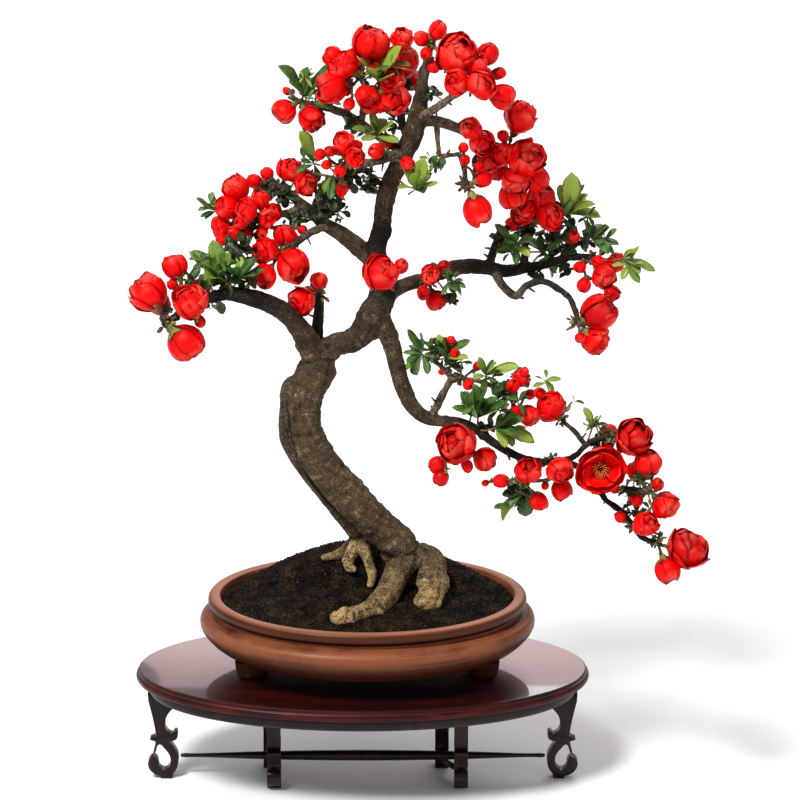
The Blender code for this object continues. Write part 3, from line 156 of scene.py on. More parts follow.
# Bunches: each name's places where the bunch grips its twig, and its flowers by their kind, as
# (across, down, back, width); a last vector turns a flower, which else looks away from its grip
BUNCHES: dict[str, tuple[list[tuple], dict[str, list[tuple]]]] = {
    "left_tip": ([(298, 101, 32)], {"globe": [(283, 112, 28, 26), (312, 119, 26, 28)],
        "bud": [(287, 91, 36, 9)]}),
    "top_left": ([(361, 76, 14)], {"globe": [(341, 65, 10, 32), (332, 88, 6, 33), (371, 42, 12, 37),
        (367, 98, -2, 25), (352, 66, 34, 26), (372, 104, 6, 24, (0.1, -0.2, -1.0)), (332, 56, 16, 20)],
        "bud": [(347, 92, 10, 9), (349, 104, 4, 12)]}),
    "top": ([(399, 95, 24)], {"globe": [(402, 60, 22, 35), (396, 100, 6, 29), (391, 79, 8, 27),
        (402, 38, 12, 25), (384, 104, 4, 24, (0.2, -0.3, -1.0)), (380, 66, 20, 28)],
        "bud": [(411, 80, 42, 22)]}),
    "peak": ([(431, 44, 0)], {"bud": [(438, 29, -3, 21), (421, 38, 0, 17), (426, 54, -10, 14),
        (434, 68, -8, 13)]}),
    "top_right": ([(469, 86, -20)], {"ruffled": [(456, 54, -22, 44, (0.35, -0.55, 0.75))],
        "globe": [(456, 82, -34, 27), (481, 85, -34, 31), (503, 97, -20, 27), (482, 78, 0, 26),
        (476, 66, -24, 24)], "bud": [(488, 53, -14, 23), (500, 73, -12, 13), (497, 74, -10, 12)]}),
    "right_top": ([(509, 148, 26), (474, 135, 20)], {"globe": [(521, 115, 26, 36), (502, 155, 12, 28),
        (517, 182, 12, 31), (513, 197, 22, 31), (471, 129, 6, 24), (482, 143, 8, 27), (497, 170, 34, 24),
        (490, 160, 20, 26), (536, 178, 20, 28)], "ruffled": [(527, 158, 12, 40, (0.6, -0.6, 0.5))],
        "bud": [(503, 136, 18, 13)]}),
    "right_hanging": ([(467, 185, 0)], {"bud": [(465, 160, -4, 11), (479, 168, 6, 13), (483, 180, 4, 18),
        (463, 147, 0, 11)], "globe": [(478, 211, -3, 33)]}),
    "right_inner": ([(531, 222, 40)], {"globe": [(541, 198, 36, 28), (526, 210, 25, 22), (551, 216, 30, 31),
        (536, 214, 58, 24), (521, 214, 30, 24)], "bud": [(512, 224, 38, 15)]}),
    "right_small": ([(566, 246, 54)], {"bud": [(572, 237, 45, 16)]}),
    "right_end": ([(589, 258, 38)], {"globe": [(606, 278, 28, 29), (618, 262, 46, 20), (612, 294, 24, 18)],
        "bud": [(580, 267, 30, 13), (584, 286, 26, 16), (612, 262, 36, 12), (598, 262, 34, 14)]}),
    "right_low": ([(578, 323, 4)], {"globe": [(600, 312, 2, 38), (598, 342, 0, 30)],
        "bud": [(581, 339, -4, 12)]}),
    "middle": ([(384, 284, 0)], {"ruffled": [(381, 272, -27, 40, (0.35, -0.35, 0.8))],
        "bud": [(401, 266, -18, 17)]}),
    "middle_right": ([(427, 281, 22)], {"globe": [(430, 275, 6, 22), (437, 302, 16, 23)],
        "bud": [(444, 266, 12, 14), (423, 293, 6, 15)]}),
    "left_upper": ([(279, 187, 29), (260, 217, 18)], {"globe": [(291, 168, 22, 27), (307, 184, 8, 26),
        (260, 199, 14, 21), (236, 188, 16, 27), (226, 207, 12, 27), (246, 209, 2, 25), (268, 218, 6, 19),
        (219, 228, 14, 24), (233, 234, 8, 18), (262, 192, 44, 25), (284, 236, 10, 22), (274, 212, 16, 20)],
        "bud": [(253, 181, 30, 17), (267, 173, 32, 13), (241, 222, 2, 15), (247, 235, 10, 14),
        (236, 181, 22, 16, (0.0, 0.0, 1.0)), (235, 258, 6, 13, (-1.0, -0.3, 0.1)), (247, 216, -2, 14),
        (262, 232, 6, 12), (303, 230, 12, 10), (222, 240, 4, 13)]}),
    "left_middle": ([(281, 253, 2)], {"globe": [(286, 235, 10, 27), (265, 250, -4, 27), (293, 266, -10, 34),
        (264, 277, -14, 27)]}),
    "left_riser": ([(320, 292, 8)], {"bud": [(319, 280, 2, 18)], "globe": [(299, 303, -8, 32),
        (312, 296, 26, 20)]}),
    "left_end": ([(190, 303, -51)], {"globe": [(174, 265, -44, 28), (197, 290, -30, 24)],
        "ruffled": [(190, 301, -66, 38, (-0.25, -0.4, 0.85))], "bud": [(200, 322, -54, 13),
        (172, 284, -48, 11)]}),
    "left_far": ([(166, 322, -57)], {"globe": [(147, 292, -52, 38), (186, 343, -58, 37),
        (160, 305, -36, 24)]}),
    "inner_left": ([(345, 159, -13)], {"globe": [(343, 141, -17, 25), (355, 157, -27, 22)],
        "bud": [(319, 154, -12, 12), (330, 151, -20, 12), (326, 165, -17, 11), (340, 171, -20, 12),
        (342, 189, -2, 16), (356, 146, -8, 12), (306, 176, 16, 15)]}),
    "inner_top": ([(388, 157, -5)], {"bud": [(376, 151, -13, 16), (408, 164, -18, 16), (386, 143, 6, 15)]}),
    "cascade_buds": ([(464, 379, -21)], {"bud": [(469, 385, -28, 12), (455, 353, -20, 11),
        (478, 366, -14, 11), (451, 340, -16, 10), (456, 353, -16, 9), (441, 372, -18, 7)]}),
    "cascade_inner": ([(461, 448, -49)], {"ruffled": [(457, 444, -64, 40, (-0.5, -0.6, 0.5))],
        "globe": [(437, 465, -50, 18), (441, 478, -54, 16), (487, 460, -53, 27)],
        "bud": [(467, 466, -58, 14)]}),
    "cascade_top": ([(509, 398, -31), (560, 418, -43)], {"globe": [(522, 377, -30, 20), (530, 416, -34, 22),
        (550, 407, -46, 29)], "bud": [(513, 386, -38, 15), (541, 394, -36, 14), (531, 394, -20, 13),
        (524, 372, -34, 12), (516, 412, -38, 13)]}),
    "cascade_under": ([(524, 480, -58)], {"globe": [(528, 470, -68, 28)], "bud": [(500, 481, -58, 17),
        (539, 502, -60, 20)]}),
    "cascade_low": ([(552, 462, -55)], {"globe": [(561, 471, -69, 28), (562, 490, -58, 22)],
        "bud": [(485, 483, -54, 8), (545, 486, -58, 9)]}),
    "cascade_face": ([(599, 486, -60)], {"open": [(601, 470, -77, 47, (0.0, -1.0, 0.15))]}),
    "cascade_outer": ([(612, 437, -54), (647, 490, -62)],
        {"ruffled": [(633, 437, -60, 42, (0.35, -0.6, 0.7))], "globe": [(608, 433, -42, 20),
        (648, 461, -62, 27), (667, 507, -66, 29), (640, 470, -42, 24)], "bud": [(658, 484, -70, 14),
        (637, 501, -64, 12), (634, 500, -62, 12), (655, 470, -58, 10), (614, 488, -60, 11)]}),
    "cascade_end": ([(634, 528, -66)], {"globe": [(646, 524, -76, 27)], "bud": [(620, 517, -68, 12)]}),
    "cascade_tip": ([(657, 542, -70)], {"ruffled": [(688, 548, -72, 44, (0.45, -0.35, 0.8))],
        "globe": [(668, 571, -76, 28)]}),
}

# Sprays: each name's place on the wood, its rosettes, as (across, down, back, leaf tips), and its
# tufts of small leaves, as (across, down, back, leaves, reach, tone); the tone runs from -1, near
# black in the crown's shade, to 1, yellow
SPRAYS: dict[str, tuple[tuple, list[tuple], list[tuple]]] = {
    "left_tip": ((309, 103, 31), [(305, 97, 28, [(280, 65, 22), (289, 80, 38), (307, 67, 26), (335, 62, 22),
        (320, 76, 44)]), (312, 101, 22, [(334, 108, 8), (338, 86, 10)])], [(306, 76, 24, 5, 13, 0.9),
        (316, 92, 24, 3, 15, 0.3), (330, 100, 24, 5, 11, -0.9)]),
    "top": ((366, 92, 16), [(378, 82, 8, [(401, 46, 0), (360, 58, -6), (374, 66, -14), (394, 74, -10),
        (386, 60, 26)])], [(392, 66, 0, 4, 18, 0.4), (376, 70, 4, 4, 14, 0.8), (396, 88, 16, 6, 12, -0.8),
        (382, 96, 24, 5, 12, -1.0), (398, 112, 26, 5, 10, -1.0), (430, 96, 0, 5, 10, -0.9)]),
    "inner_top": ((380, 137, 16), [(377, 136, 6, [(371, 111, 10), (394, 122, 0), (399, 141, -4),
        (352, 128, 0), (362, 140, -10), (384, 118, 22)])], [(366, 134, 6, 5, 12, 0.3),
        (386, 128, 6, 4, 12, 0.2), (352, 122, 20, 4, 9, -0.8)]),
    "inner_left": ((352, 160, -12), [(314, 164, 14, [(301, 131, 8), (303, 151, 2), (296, 172, 8),
        (318, 183, 12)]), (334, 174, 2, [(322, 196, 6), (330, 200, -8), (352, 184, 12)])],
        [(350, 178, 2, 8, 12, -1.0), (371, 186, 6, 7, 11, -1.0), (330, 194, 10, 9, 15, -1.0),
        (306, 160, 16, 3, 15, 0.0), (338, 213, 12, 6, 11, -1.0), (322, 212, 14, 5, 10, -1.0),
        (366, 174, 4, 5, 9, -1.0)]),
    "leader": ((395, 177, 4), [(417, 189, -16, [(402, 163, -18), (424, 158, -20), (398, 188, -26),
        (438, 182, -20), (430, 170, -6), (415, 171, -32)])], [(414, 178, -16, 5, 14, 0.4),
        (430, 160, -10, 4, 13, 0.6), (406, 148, 10, 6, 11, -1.0), (398, 128, 24, 5, 11, -1.0),
        (436, 167, -10, 4, 9, -0.6)]),
    "right": ((531, 236, 44), [(566, 214, 46, [(572, 173, 40), (560, 184, 56), (588, 194, 44),
        (594, 203, 34), (601, 217, 44), (585, 207, 62)])], [(574, 200, 44, 6, 19, 0.2),
        (588, 216, 46, 5, 15, 0.1), (560, 214, 46, 5, 11, -0.9), (566, 230, 46, 6, 12, -0.7)]),
    "right_outer": ((584, 242, 54), [(592, 240, 48, [(584, 220, 44), (606, 226, 44), (619, 244, 40),
        (616, 254, 52), (600, 222, 64), (608, 252, 28)])], [(606, 240, 44, 7, 17, 0.3),
        (568, 252, 44, 5, 10, -1.0), (590, 238, 50, 5, 11, -0.8), (564, 268, 48, 5, 9, -0.9)]),
    "right_tip": ((598, 258, 36), [(622, 259, 32, [(640, 283, 28), (656, 270, 30), (635, 249, 28),
        (640, 262, 48)])], [(630, 262, 34, 6, 20, 0.9)]),
    "right_inner": ((497, 240, 34), [(514, 246, 24, [(495, 224, 22), (499, 250, 18), (516, 264, 16),
        (530, 256, 14), (509, 232, 8)]), (543, 252, 46, [(529, 239, 60), (556, 272, 40), (562, 240, 34),
        (540, 235, 54), (553, 277, 56)])], [(510, 252, 24, 6, 17, 0.0), (548, 256, 46, 6, 15, -0.2),
        (486, 168, 34, 7, 13, -1.0), (500, 240, 30, 5, 10, -1.0), (524, 232, 40, 6, 11, -0.9),
        (546, 240, 48, 6, 11, -1.0), (536, 274, 42, 4, 8, -1.0)]),
    "middle": ((448, 272, 30), [(448, 282, 12, [(466, 288, 6), (446, 268, -2), (458, 272, 4), (442, 295, 4),
        (462, 296, 18)])], [(452, 282, 10, 5, 14, 0.1), (436, 272, 24, 4, 9, -0.9),
        (452, 300, 12, 4, 8, -0.8)]),
    "left_upper": ((268, 216, 19), [(216, 211, 30, [(196, 198, 26), (200, 217, 30), (209, 193, 34),
        (203, 206, 48)])], [(212, 206, 30, 3, 14, 0.4), (284, 196, 26, 8, 12, -1.0),
        (258, 226, 16, 6, 13, -0.7), (240, 228, 14, 6, 12, -1.0), (270, 190, 30, 5, 11, -0.9),
        (292, 217, 20, 5, 10, -1.0), (305, 217, 18, 4, 9, -1.0)]),
    "left_limb": ((224, 295, -39), [(219, 279, -35, [(190, 251, -34), (213, 240, -30), (203, 262, -50),
        (230, 252, -34), (196, 278, -26), (206, 276, -56), (222, 256, -14)]),
        (238, 280, -30, [(252, 260, -32), (240, 254, -20), (255, 274, -42), (226, 266, -54),
        (243, 268, -6)])], [(202, 262, -38, 6, 15, 0.15), (226, 268, -34, 7, 17, 0.25),
        (238, 249, -18, 9, 13, -1.0), (226, 283, -38, 7, 12, -0.7), (168, 318, -54, 5, 9, -0.9),
        (216, 303, -44, 6, 10, -1.0), (247, 284, -30, 4, 9, -0.9), (194, 280, -46, 5, 10, -0.7)]),
    "cascade_left": ((428, 358, -12), [(422, 354, -12, [(408, 329, -12), (421, 333, -18), (403, 352, -12),
        (405, 370, -14), (428, 374, -20), (416, 374, 2), (412, 344, 8)]), (446, 358, -18, [(438, 334, -16),
        (470, 340, -22), (468, 358, -28), (452, 340, -4), (436, 346, -30)])], [(432, 350, -14, 8, 14, 0.0),
        (443, 350, -16, 8, 12, -0.8), (462, 362, -20, 5, 12, 0.2), (452, 366, -18, 4, 9, -0.7)]),
    "cascade_middle": ((484, 383, -23), [(486, 376, -26, [(479, 357, -28), (496, 362, -34), (474, 378, -40),
        (519, 366, -30), (482, 396, -34), (494, 366, -10)])], [(492, 378, -28, 7, 16, 0.1),
        (504, 392, -30, 7, 12, -0.7), (545, 380, -38, 5, 15, 0.5), (572, 402, -46, 3, 13, 0.1),
        (520, 380, -30, 5, 10, -0.6)]),
    "cascade_big": ((476, 428, -40), [(478, 418, -42, [(452, 407, -44), (461, 391, -40), (475, 384, -46),
        (485, 389, -54), (497, 397, -42), (466, 396, -22), (508, 404, -56)]),
        (495, 428, -50, [(506, 447, -62), (535, 442, -52), (517, 434, -66), (524, 418, -54),
        (512, 414, -34)])], [(474, 404, -42, 8, 19, 0.3), (500, 412, -46, 8, 17, 0.1),
        (518, 402, -40, 6, 15, 0.0), (510, 428, -50, 4, 19, 0.6), (488, 428, -38, 4, 10, -0.8)]),
    "cascade_outer": ((584, 446, -53), [(592, 428, -52, [(584, 407, -50), (598, 416, -58), (583, 424, -60),
        (603, 424, -40)])], [(596, 424, -52, 5, 14, 0.3), (640, 480, -58, 7, 12, 0.0),
        (652, 508, -64, 6, 13, 0.0), (660, 538, -70, 5, 10, 0.2), (630, 492, -56, 6, 10, -0.9),
        (644, 524, -62, 6, 10, -0.9), (650, 486, -62, 5, 9, 0.5), (600, 446, -50, 5, 10, -0.8),
        (626, 506, -62, 5, 9, 0.6), (636, 510, -64, 5, 10, -0.9)]),
    "cascade_low": ((526, 480, -58), [(525, 490, -52, [(500, 520, -50), (507, 488, -44), (516, 500, -30)])],
        [(518, 490, -52, 7, 12, -0.9), (512, 506, -48, 2, 20, 0.2)]),
}

LIMB_SHADE = 0.46              # how much darker a limb's bark is than the trunk's
IN_SHADE = -0.5                # a leaf whose tone is below this is deep in the crown, painted near black as its shade

# Clefts in the trunk's front, painted on the bark as dark shade without a recess: rows of (across, down,
# back, half width)
CLEFTS = [
    [(287, 402, -4, 1.8), (288, 414, -7, 2.8), (289, 428, -8, 3.4), (292, 442, -9, 2.6), (299, 457, -8, 1.8)],
    [(303, 466, 0, 2.0), (311, 480, 4, 2.4), (322, 495, 5, 2.6), (336, 510, 6, 2.8), (352, 527, 7, 3.2),
     (366, 541, 6, 4.0)],
    [(396, 603, -58, 1.8), (387, 611, -66, 2.4)],
]

# Limbs whose bark is near black: from which share of their length, how dark, and up to which share
DARK_BARK = {
    "left_limb": (0.34, 1.0), "left_riser": (0.1, 0.8), "leader": (0.17, 0.95, 0.60),
    "second_limb": (0.1, 0.45), "middle_limb": (0.33, 0.95), "middle_riser": (0.0, 1.0),
    "middle_riser_far": (0.0, 1.0), "middle_outer": (0.0, 1.0), "middle_low": (0.3, 0.7),
    "cascade": (0.27, 0.9), "cascade_outer": (0.0, 0.85), "cascade_spine": (0.0, 0.7),
    "cascade_end": (0.0, 1.0), "drop_inner": (0.0, 0.8), "drop_middle": (0.0, 0.9), "stub": (0.0, 0.5),
    "second_low": (0.3, 0.4), "right_top_twig": (0.5, 0.7),
}
PAST_TIP = 9.0                 # where such bark has no upper end

# How pale a worn root is: where it leaves the trunk, and how much paler it gets towards its tip
ROOT_WEAR = {"right_root": (0.10, 0.66), "left_root": (0.62, 0.38), "thin_root": (0.55, 0.45)}

# The scroll leg's outline, as (in from the leg's outer face, up from the floor)
LEG_OUTLINE = [
    (1, 88), (1.5, 80), (5, 66), (8, 53), (8.4, 46), (2.6, 42.4), (8.2, 40), (7.0, 33), (5.6, 26.6),
    (8.2, 29), (10.2, 35.6), (13.2, 37), (17, 33), (21.5, 27), (23.4, 20), (22, 12.8), (18, 8.8),
    (13.5, 10), (11.2, 14), (10.8, 18), (8.4, 22.2), (4, 22.6), (0.6, 18.4), (0.2, 14), (2.2, 9),
    (7.2, 4.6), (13, 2.6), (14, 0), (24.2, 0), (25.4, 4.6), (29.5, 11), (31.4, 19), (30.4, 27),
    (26.2, 34.6), (22.6, 40.4), (26, 41), (30, 43.6), (31.2, 49), (28.4, 51), (25.4, 47.8), (21.6, 49.6),
    (18.4, 55.5), (19.4, 63), (24, 70), (29, 74.6), (31, 88),
]


def placed(across: float, down: float, back: float) -> Vector:
    """The model's place of a point on the drawing.

    Args:
        across: Millimetres from the drawing's left edge.
        down: Millimetres from its top edge.
        back: Millimetres behind the trunk's plane.

    Returns:
        The place in the model, in millimetres.
    """
    right, rise = across - VIEW_MIDDLE, VIEW_MIDDLE - down
    level, fall = math.cos(VIEW_RISE), math.sin(VIEW_RISE)
    height = rise * (VIEW_REACH + back * level) - VIEW_REACH * back * fall
    height /= VIEW_REACH * level + rise * fall
    distance = VIEW_REACH + back * level - height * fall
    return VIEW_CENTRE + Vector((right * distance / VIEW_REACH, back, height))


def in_crown(across: float, down: float, back: float) -> Vector:
    """A place in the crown, where the drawing's depths are stretched."""
    return placed(across, down, back * CROWN_DEPTH)


def curve(knots: Sequence[Sequence[float]], steps: int) -> np.ndarray:
    """Points on a smooth curve.

    Args:
        knots: Places that it goes through, which may carry a radius as a last number.
        steps: Points from one knot to the next.

    Returns:
        The points, one row each.
    """
    places = np.asarray(knots, float)
    last = len(places) - 1
    t = (np.arange(steps) / steps)[:, None]
    rows = []
    for index in range(last):
        a, b, c, d = (places[min(max(k, 0), last)] for k in range(index - 1, index + 3))
        rows.append(0.5 * (2 * b + (c - a) * t + (2 * a - 5 * b + 4 * c - d) * t ** 2
                           + (3 * b - a - 3 * c + d) * t ** 3))
    return np.concatenate([*rows, places[-1:]])


def unit(rows: np.ndarray) -> np.ndarray:
    """Vectors made one long."""
    return rows / np.maximum(np.linalg.norm(rows, axis=-1, keepdims=True), 1e-9)


def turns_round(sides: int) -> np.ndarray:
    """Even turns round a circle, in radians."""
    return 2 * np.pi * np.arange(sides) / sides


def spokes(turns: np.ndarray, side: np.ndarray, way: np.ndarray) -> np.ndarray:
    """Unit vectors square to a way, at those turns from a side."""
    return np.cos(turns)[:, None] * side + np.sin(turns)[:, None] * np.cross(way, side)


def any_way(rng: random.Random, reach: float = 1.0) -> Vector:
    """A random vector, each of its numbers within the reach either way."""
    return Vector([rng.uniform(-reach, reach) for _ in range(3)])


def sideways(way: Vector, rng: random.Random) -> Vector:
    """A random way square to another."""
    side = way.orthogonal().normalized()
    side.rotate(Quaternion(way, rng.uniform(0, 6.28)))
    return side


def shown(name: str, data: bpy.types.ID) -> Object:
    """A new object in the scene."""
    made = bpy.data.objects.new(name, data)
    bpy.context.scene.collection.objects.link(made)
    return made


def carry(mesh: Mesh, label: str, values: Sequence) -> None:
    """Gives each point of a mesh a vector, which a finish or a node tree reads."""
    layer = mesh.attributes.new(label, "FLOAT_VECTOR", "POINT")
    layer.data.foreach_set("vector", np.asarray(values, np.float32).ravel())


def evaluated(made: Object) -> Mesh:
    """The plain mesh that an object's modifiers give."""
    graph = bpy.context.evaluated_depsgraph_get()
    graph.update()
    return bpy.data.meshes.new_from_object(made.evaluated_get(graph), depsgraph=graph)


@dataclass
class Shape:
    """Points and faces gathered from many small forms, in millimetres, that become one piece."""

    points: list[np.ndarray] = field(default_factory=list)
    faces: list[tuple[int, ...]] = field(default_factory=list)
    coats: list[int] = field(default_factory=list)
    marks: list[np.ndarray] = field(default_factory=list)
    count: int = 0

    def add(self, points: np.ndarray, faces: Sequence[Sequence[int]], coat: int, marks: np.ndarray) -> None:
        """Adds one form.

        Args:
            points: Its points, one row each.
            faces: Its faces, as rows of point numbers.
            coat: Number of the material slot that it takes.
            marks: Three numbers for each point, which the materials read.
        """
        self.points.append(points)
        self.marks.append(marks)
        self.faces += [tuple(self.count + k for k in face) for face in faces]
        self.coats += [coat] * len(faces)
        self.count += len(points)

    def sheet(self, surface: np.ndarray, thick: float, marks: np.ndarray) -> None:
        """Adds a thin closed blade: two skins that meet along the edge of a grid of points.

        Args:
            surface: Grid of the blade's middle, as (rows, columns, 3).
            thick: Its thickness away from the edge.
            marks: Three numbers for each point, as (rows, columns, 3).
        """
        rows, columns = surface.shape[:2]
        down, across = np.gradient(surface, axis=(0, 1))
        normal = unit(np.cross(down, across))
        inner = np.zeros((rows, columns), bool)
        inner[1:-1, 1:-1] = True
        body = np.where(inner[..., None], thick / 2, 0.0)
        top = (surface + normal * body).reshape(-1, 3)
        low = (surface - normal * body)[inner]
        upper = np.arange(rows * columns).reshape(rows, columns)
        lower = upper.copy()
        lower[inner] = rows * columns + np.arange(inner.sum())
        faces = []
        for grid, order in ((upper, (0, 1, 2, 3)), (lower, (3, 2, 1, 0))):
            corners = (grid[:-1, :-1], grid[1:, :-1], grid[1:, 1:], grid[:-1, 1:])
            faces += np.stack([corners[k].ravel() for k in order], 1).tolist()
        self.add(np.concatenate([top, low]), faces, 0, np.concatenate([marks.reshape(-1, 3), marks[inner]]))

    def loft(self, rings: np.ndarray, coat: int = 0, marks: np.ndarray | None = None,
             flat_ends: bool = False) -> None:
        """Adds a closed form through rings of points that turn to the left round the way they climb.

        Args:
            rings: Rings of equal point count, as (rings, points, 3).
            coat: Number of its material slot.
            marks: Three numbers for each point, as (rings, points, 3).
            flat_ends: Whether each end is one flat face, which may be hollow in outline.
        """
        levels, sides = rings.shape[:2]
        k = np.arange(sides)
        after = (k + 1) % sides
        marks = np.zeros_like(rings) if marks is None else marks
        faces: list[Sequence[int]] = []
        for level in range(levels - 1):
            low, high = level * sides, (level + 1) * sides
            faces += np.stack([low + k, low + after, high + after, high + k], 1).tolist()
        last = (levels - 1) * sides
        if flat_ends:
            faces += [tuple(k[::-1].tolist()), tuple((last + k).tolist())]
            self.add(rings.reshape(-1, 3), faces, coat, marks.reshape(-1, 3))
            return
        ends = levels * sides
        pairs = list(zip(k.tolist(), after.tolist()))
        faces += [(ends, b, a) for a, b in pairs] + [(ends + 1, last + a, last + b) for a, b in pairs]
        points = np.concatenate([rings.reshape(-1, 3), rings[0].mean(0)[None], rings[-1].mean(0)[None]])
        self.add(points, faces, coat, np.concatenate([marks.reshape(-1, 3), marks[0, :1], marks[-1, :1]]))

    def tube(self, path: np.ndarray, sides: int, coat: int = 0, lumps: float = 0.0,
             tone: float = 0.0, seed: float = 0.0) -> None:
        """Adds a round limb along a path.

        Args:
            path: Rows of (x, y, z, radius).
            sides: Points round it.
            coat: Number of its material slot.
            lumps: How uneven its surface is, as a share of the radius.
            tone: A number that its material reads.
            seed: Start of its uneven pattern.
        """
        centres = path[:, :3]
        ahead = unit(np.gradient(centres, axis=0))
        side_way = np.array((0.0, 1.0, 0.0)) if abs(ahead[0][1]) < 0.9 else np.array((1.0, 0.0, 0.0))
        turns = turns_round(sides)
        rings, run = [], 0.0
        for index, (centre, way) in enumerate(zip(centres, ahead)):
            side_way = side_way - way * side_way.dot(way)
            side_way /= np.linalg.norm(side_way)
            if index:
                run += float(np.linalg.norm(centre - centres[index - 1]))
            radius = np.full(sides, path[index, 3])
            if lumps:
                radius = radius * (1 + lumps * np.array(
                    [noise.noise((seed + run * 0.16, 1.4 * math.cos(t), 1.4 * math.sin(t))) for t in turns]))
            rings.append(centre + radius[:, None] * spokes(turns, side_way, way))
        heel = rings[0].mean(0) + (rings[0] - rings[0].mean(0)) * 0.5 - ahead[0] * path[0, 3] * 0.6
        tip = rings[-1].mean(0) + (rings[-1] - rings[-1].mean(0)) * 0.5 + ahead[-1] * path[-1, 3] * 0.6
        marks = np.zeros((len(rings) + 2, sides, 3))
        marks[..., 2] = tone
        self.loft(np.array([heel, *rings, tip]), coat, marks)

    def egg(self, centre: Vector, way: Vector, long: float, wide: float, coat: int = 0,
            tone: float = 0.0, sides: int = 8, levels: int = 6) -> None:
        """Adds a small egg along a way, widest a little below its middle.

        Args:
            centre: Its middle.
            way: The way its point looks.
            long: Its length.
            wide: Its width.
            coat: Number of its material slot.
            tone: A number that its material reads.
            sides: Points round it.
            levels: Rings from end to end.
        """
        centre, way = np.array(centre), np.array(way)
        share = (np.arange(levels) + 0.5) / levels
        along = -np.cos(np.pi * share)
        out = np.sqrt(1 - along ** 2) * (1 - 0.18 * along)
        path = np.column_stack([centre + np.outer(along * long / 2, way), out * wide / 2])
        turns = turns_round(sides)
        side_way = np.cross(way, (0.3, 0.5, 0.81))
        side_way /= np.linalg.norm(side_way)
        rings = path[:, None, :3] + path[:, None, 3:] * spokes(turns, side_way, way)[None]
        marks = np.stack(np.broadcast_arrays(turns[None], share[:, None], tone), 2)
        self.loft(rings, coat, marks)

    def piece(self, name: str, coats: Sequence["Finish"], crisp: float | None = None) -> Object:
        """Makes the object.

        Args:
            name: Name of the piece.
            coats: Its finishes, in the order of the material slots.
            crisp: Edges that turn by more than this many degrees stay sharp.

        Returns:
            The object, smooth shaded, with its place in its mesh.
        """
        mesh = bpy.data.meshes.new(name)
        points = np.concatenate(self.points) * MM
        mesh.from_pydata(points.tolist(), [], self.faces)
        for coat in coats:
            mesh.materials.append(coat.material())
        mesh.polygons.foreach_set("material_index", np.array(self.coats, np.int32))
        carry(mesh, "marks", np.concatenate(self.marks))
        mesh.update()
        mesh.shade_smooth()
        if crisp:
            mesh.set_sharp_from_angle(angle=math.radians(crisp))
        return shown(name, mesh)


@dataclass(frozen=True)
class Wire:
    """A node's output in a node tree, with arithmetic that adds Math nodes."""

    net: "Net"
    socket: NodeSocket

    def math(self, operation: str, *others: "Wire | Number") -> "Wire":
        """This value and others put through a Math node.

        Args:
            operation: The node's operation.
            *others: The second and third values.

        Returns:
            The node's result.
        """
        return self.net.out("ShaderNodeMath", dict(enumerate((self, *others))), operation=operation)

    def __add__(self, other: "Wire | Number") -> "Wire":
        """This value plus another."""
        return self.math("ADD", other)

    __radd__ = __add__

    def __mul__(self, other: "Wire | Number") -> "Wire":
        """This value times another."""
        return self.math("MULTIPLY", other)

    __rmul__ = __mul__

    def __sub__(self, other: "Wire | Number") -> "Wire":
        """This value less another."""
        return self.math("SUBTRACT", other)

    def __rsub__(self, other: Number) -> "Wire":
        """A number less this value."""
        return self.net.out("ShaderNodeMath", {0: other, 1: self}, operation="SUBTRACT")

    def between(self, low: float, high: float) -> "Wire":
        """A smooth step: 0 at low and below, 1 at high and above."""
        sockets = {0: self, 1: low, 2: high}
        return self.net.out("ShaderNodeMapRange", sockets, interpolation_type="SMOOTHSTEP")


class Net:
    """A node tree that nodes are added to."""

    def __init__(self, tree: NodeTree) -> None:
        """Keeps the tree."""
        self.tree = tree

    def node(self, kind: str, sockets: dict[int | str, object] | None = None, **settings: object) -> Node:
        """Adds one node.

        Args:
            kind: Its type name.
            sockets: Values or wires for its inputs, by name or number.
            **settings: Its properties, which are set first; stops are a ramp's (place, colour).

        Returns:
            The node.
        """
        made = self.tree.nodes.new(kind)
        for key, value in settings.items():
            if key == "stops":
                ramp = made.color_ramp
                for _ in value[2:]:
                    ramp.elements.new(0.5)
                for stop, (place, colour) in zip(ramp.elements, value):
                    stop.position = place
                    stop.color = (*colour, 1.0)
            else:
                setattr(made, key, value)
        for key, value in (sockets or {}).items():
            self.feed(made.inputs[key], value)
        return made

    def feed(self, socket: NodeSocket, value: object) -> None:
        """Links a wire to an input, or sets its value."""
        if isinstance(value, Wire):
            self.tree.links.new(value.socket, socket)
        else:
            socket.default_value = value

    def out(self, kind: str, sockets: dict[int | str, object] | None = None, output: int | str = 0,
            **settings: object) -> Wire:
        """Adds one node and gives one of its outputs as a wire."""
        return Wire(self, self.node(kind, sockets, **settings).outputs[output])


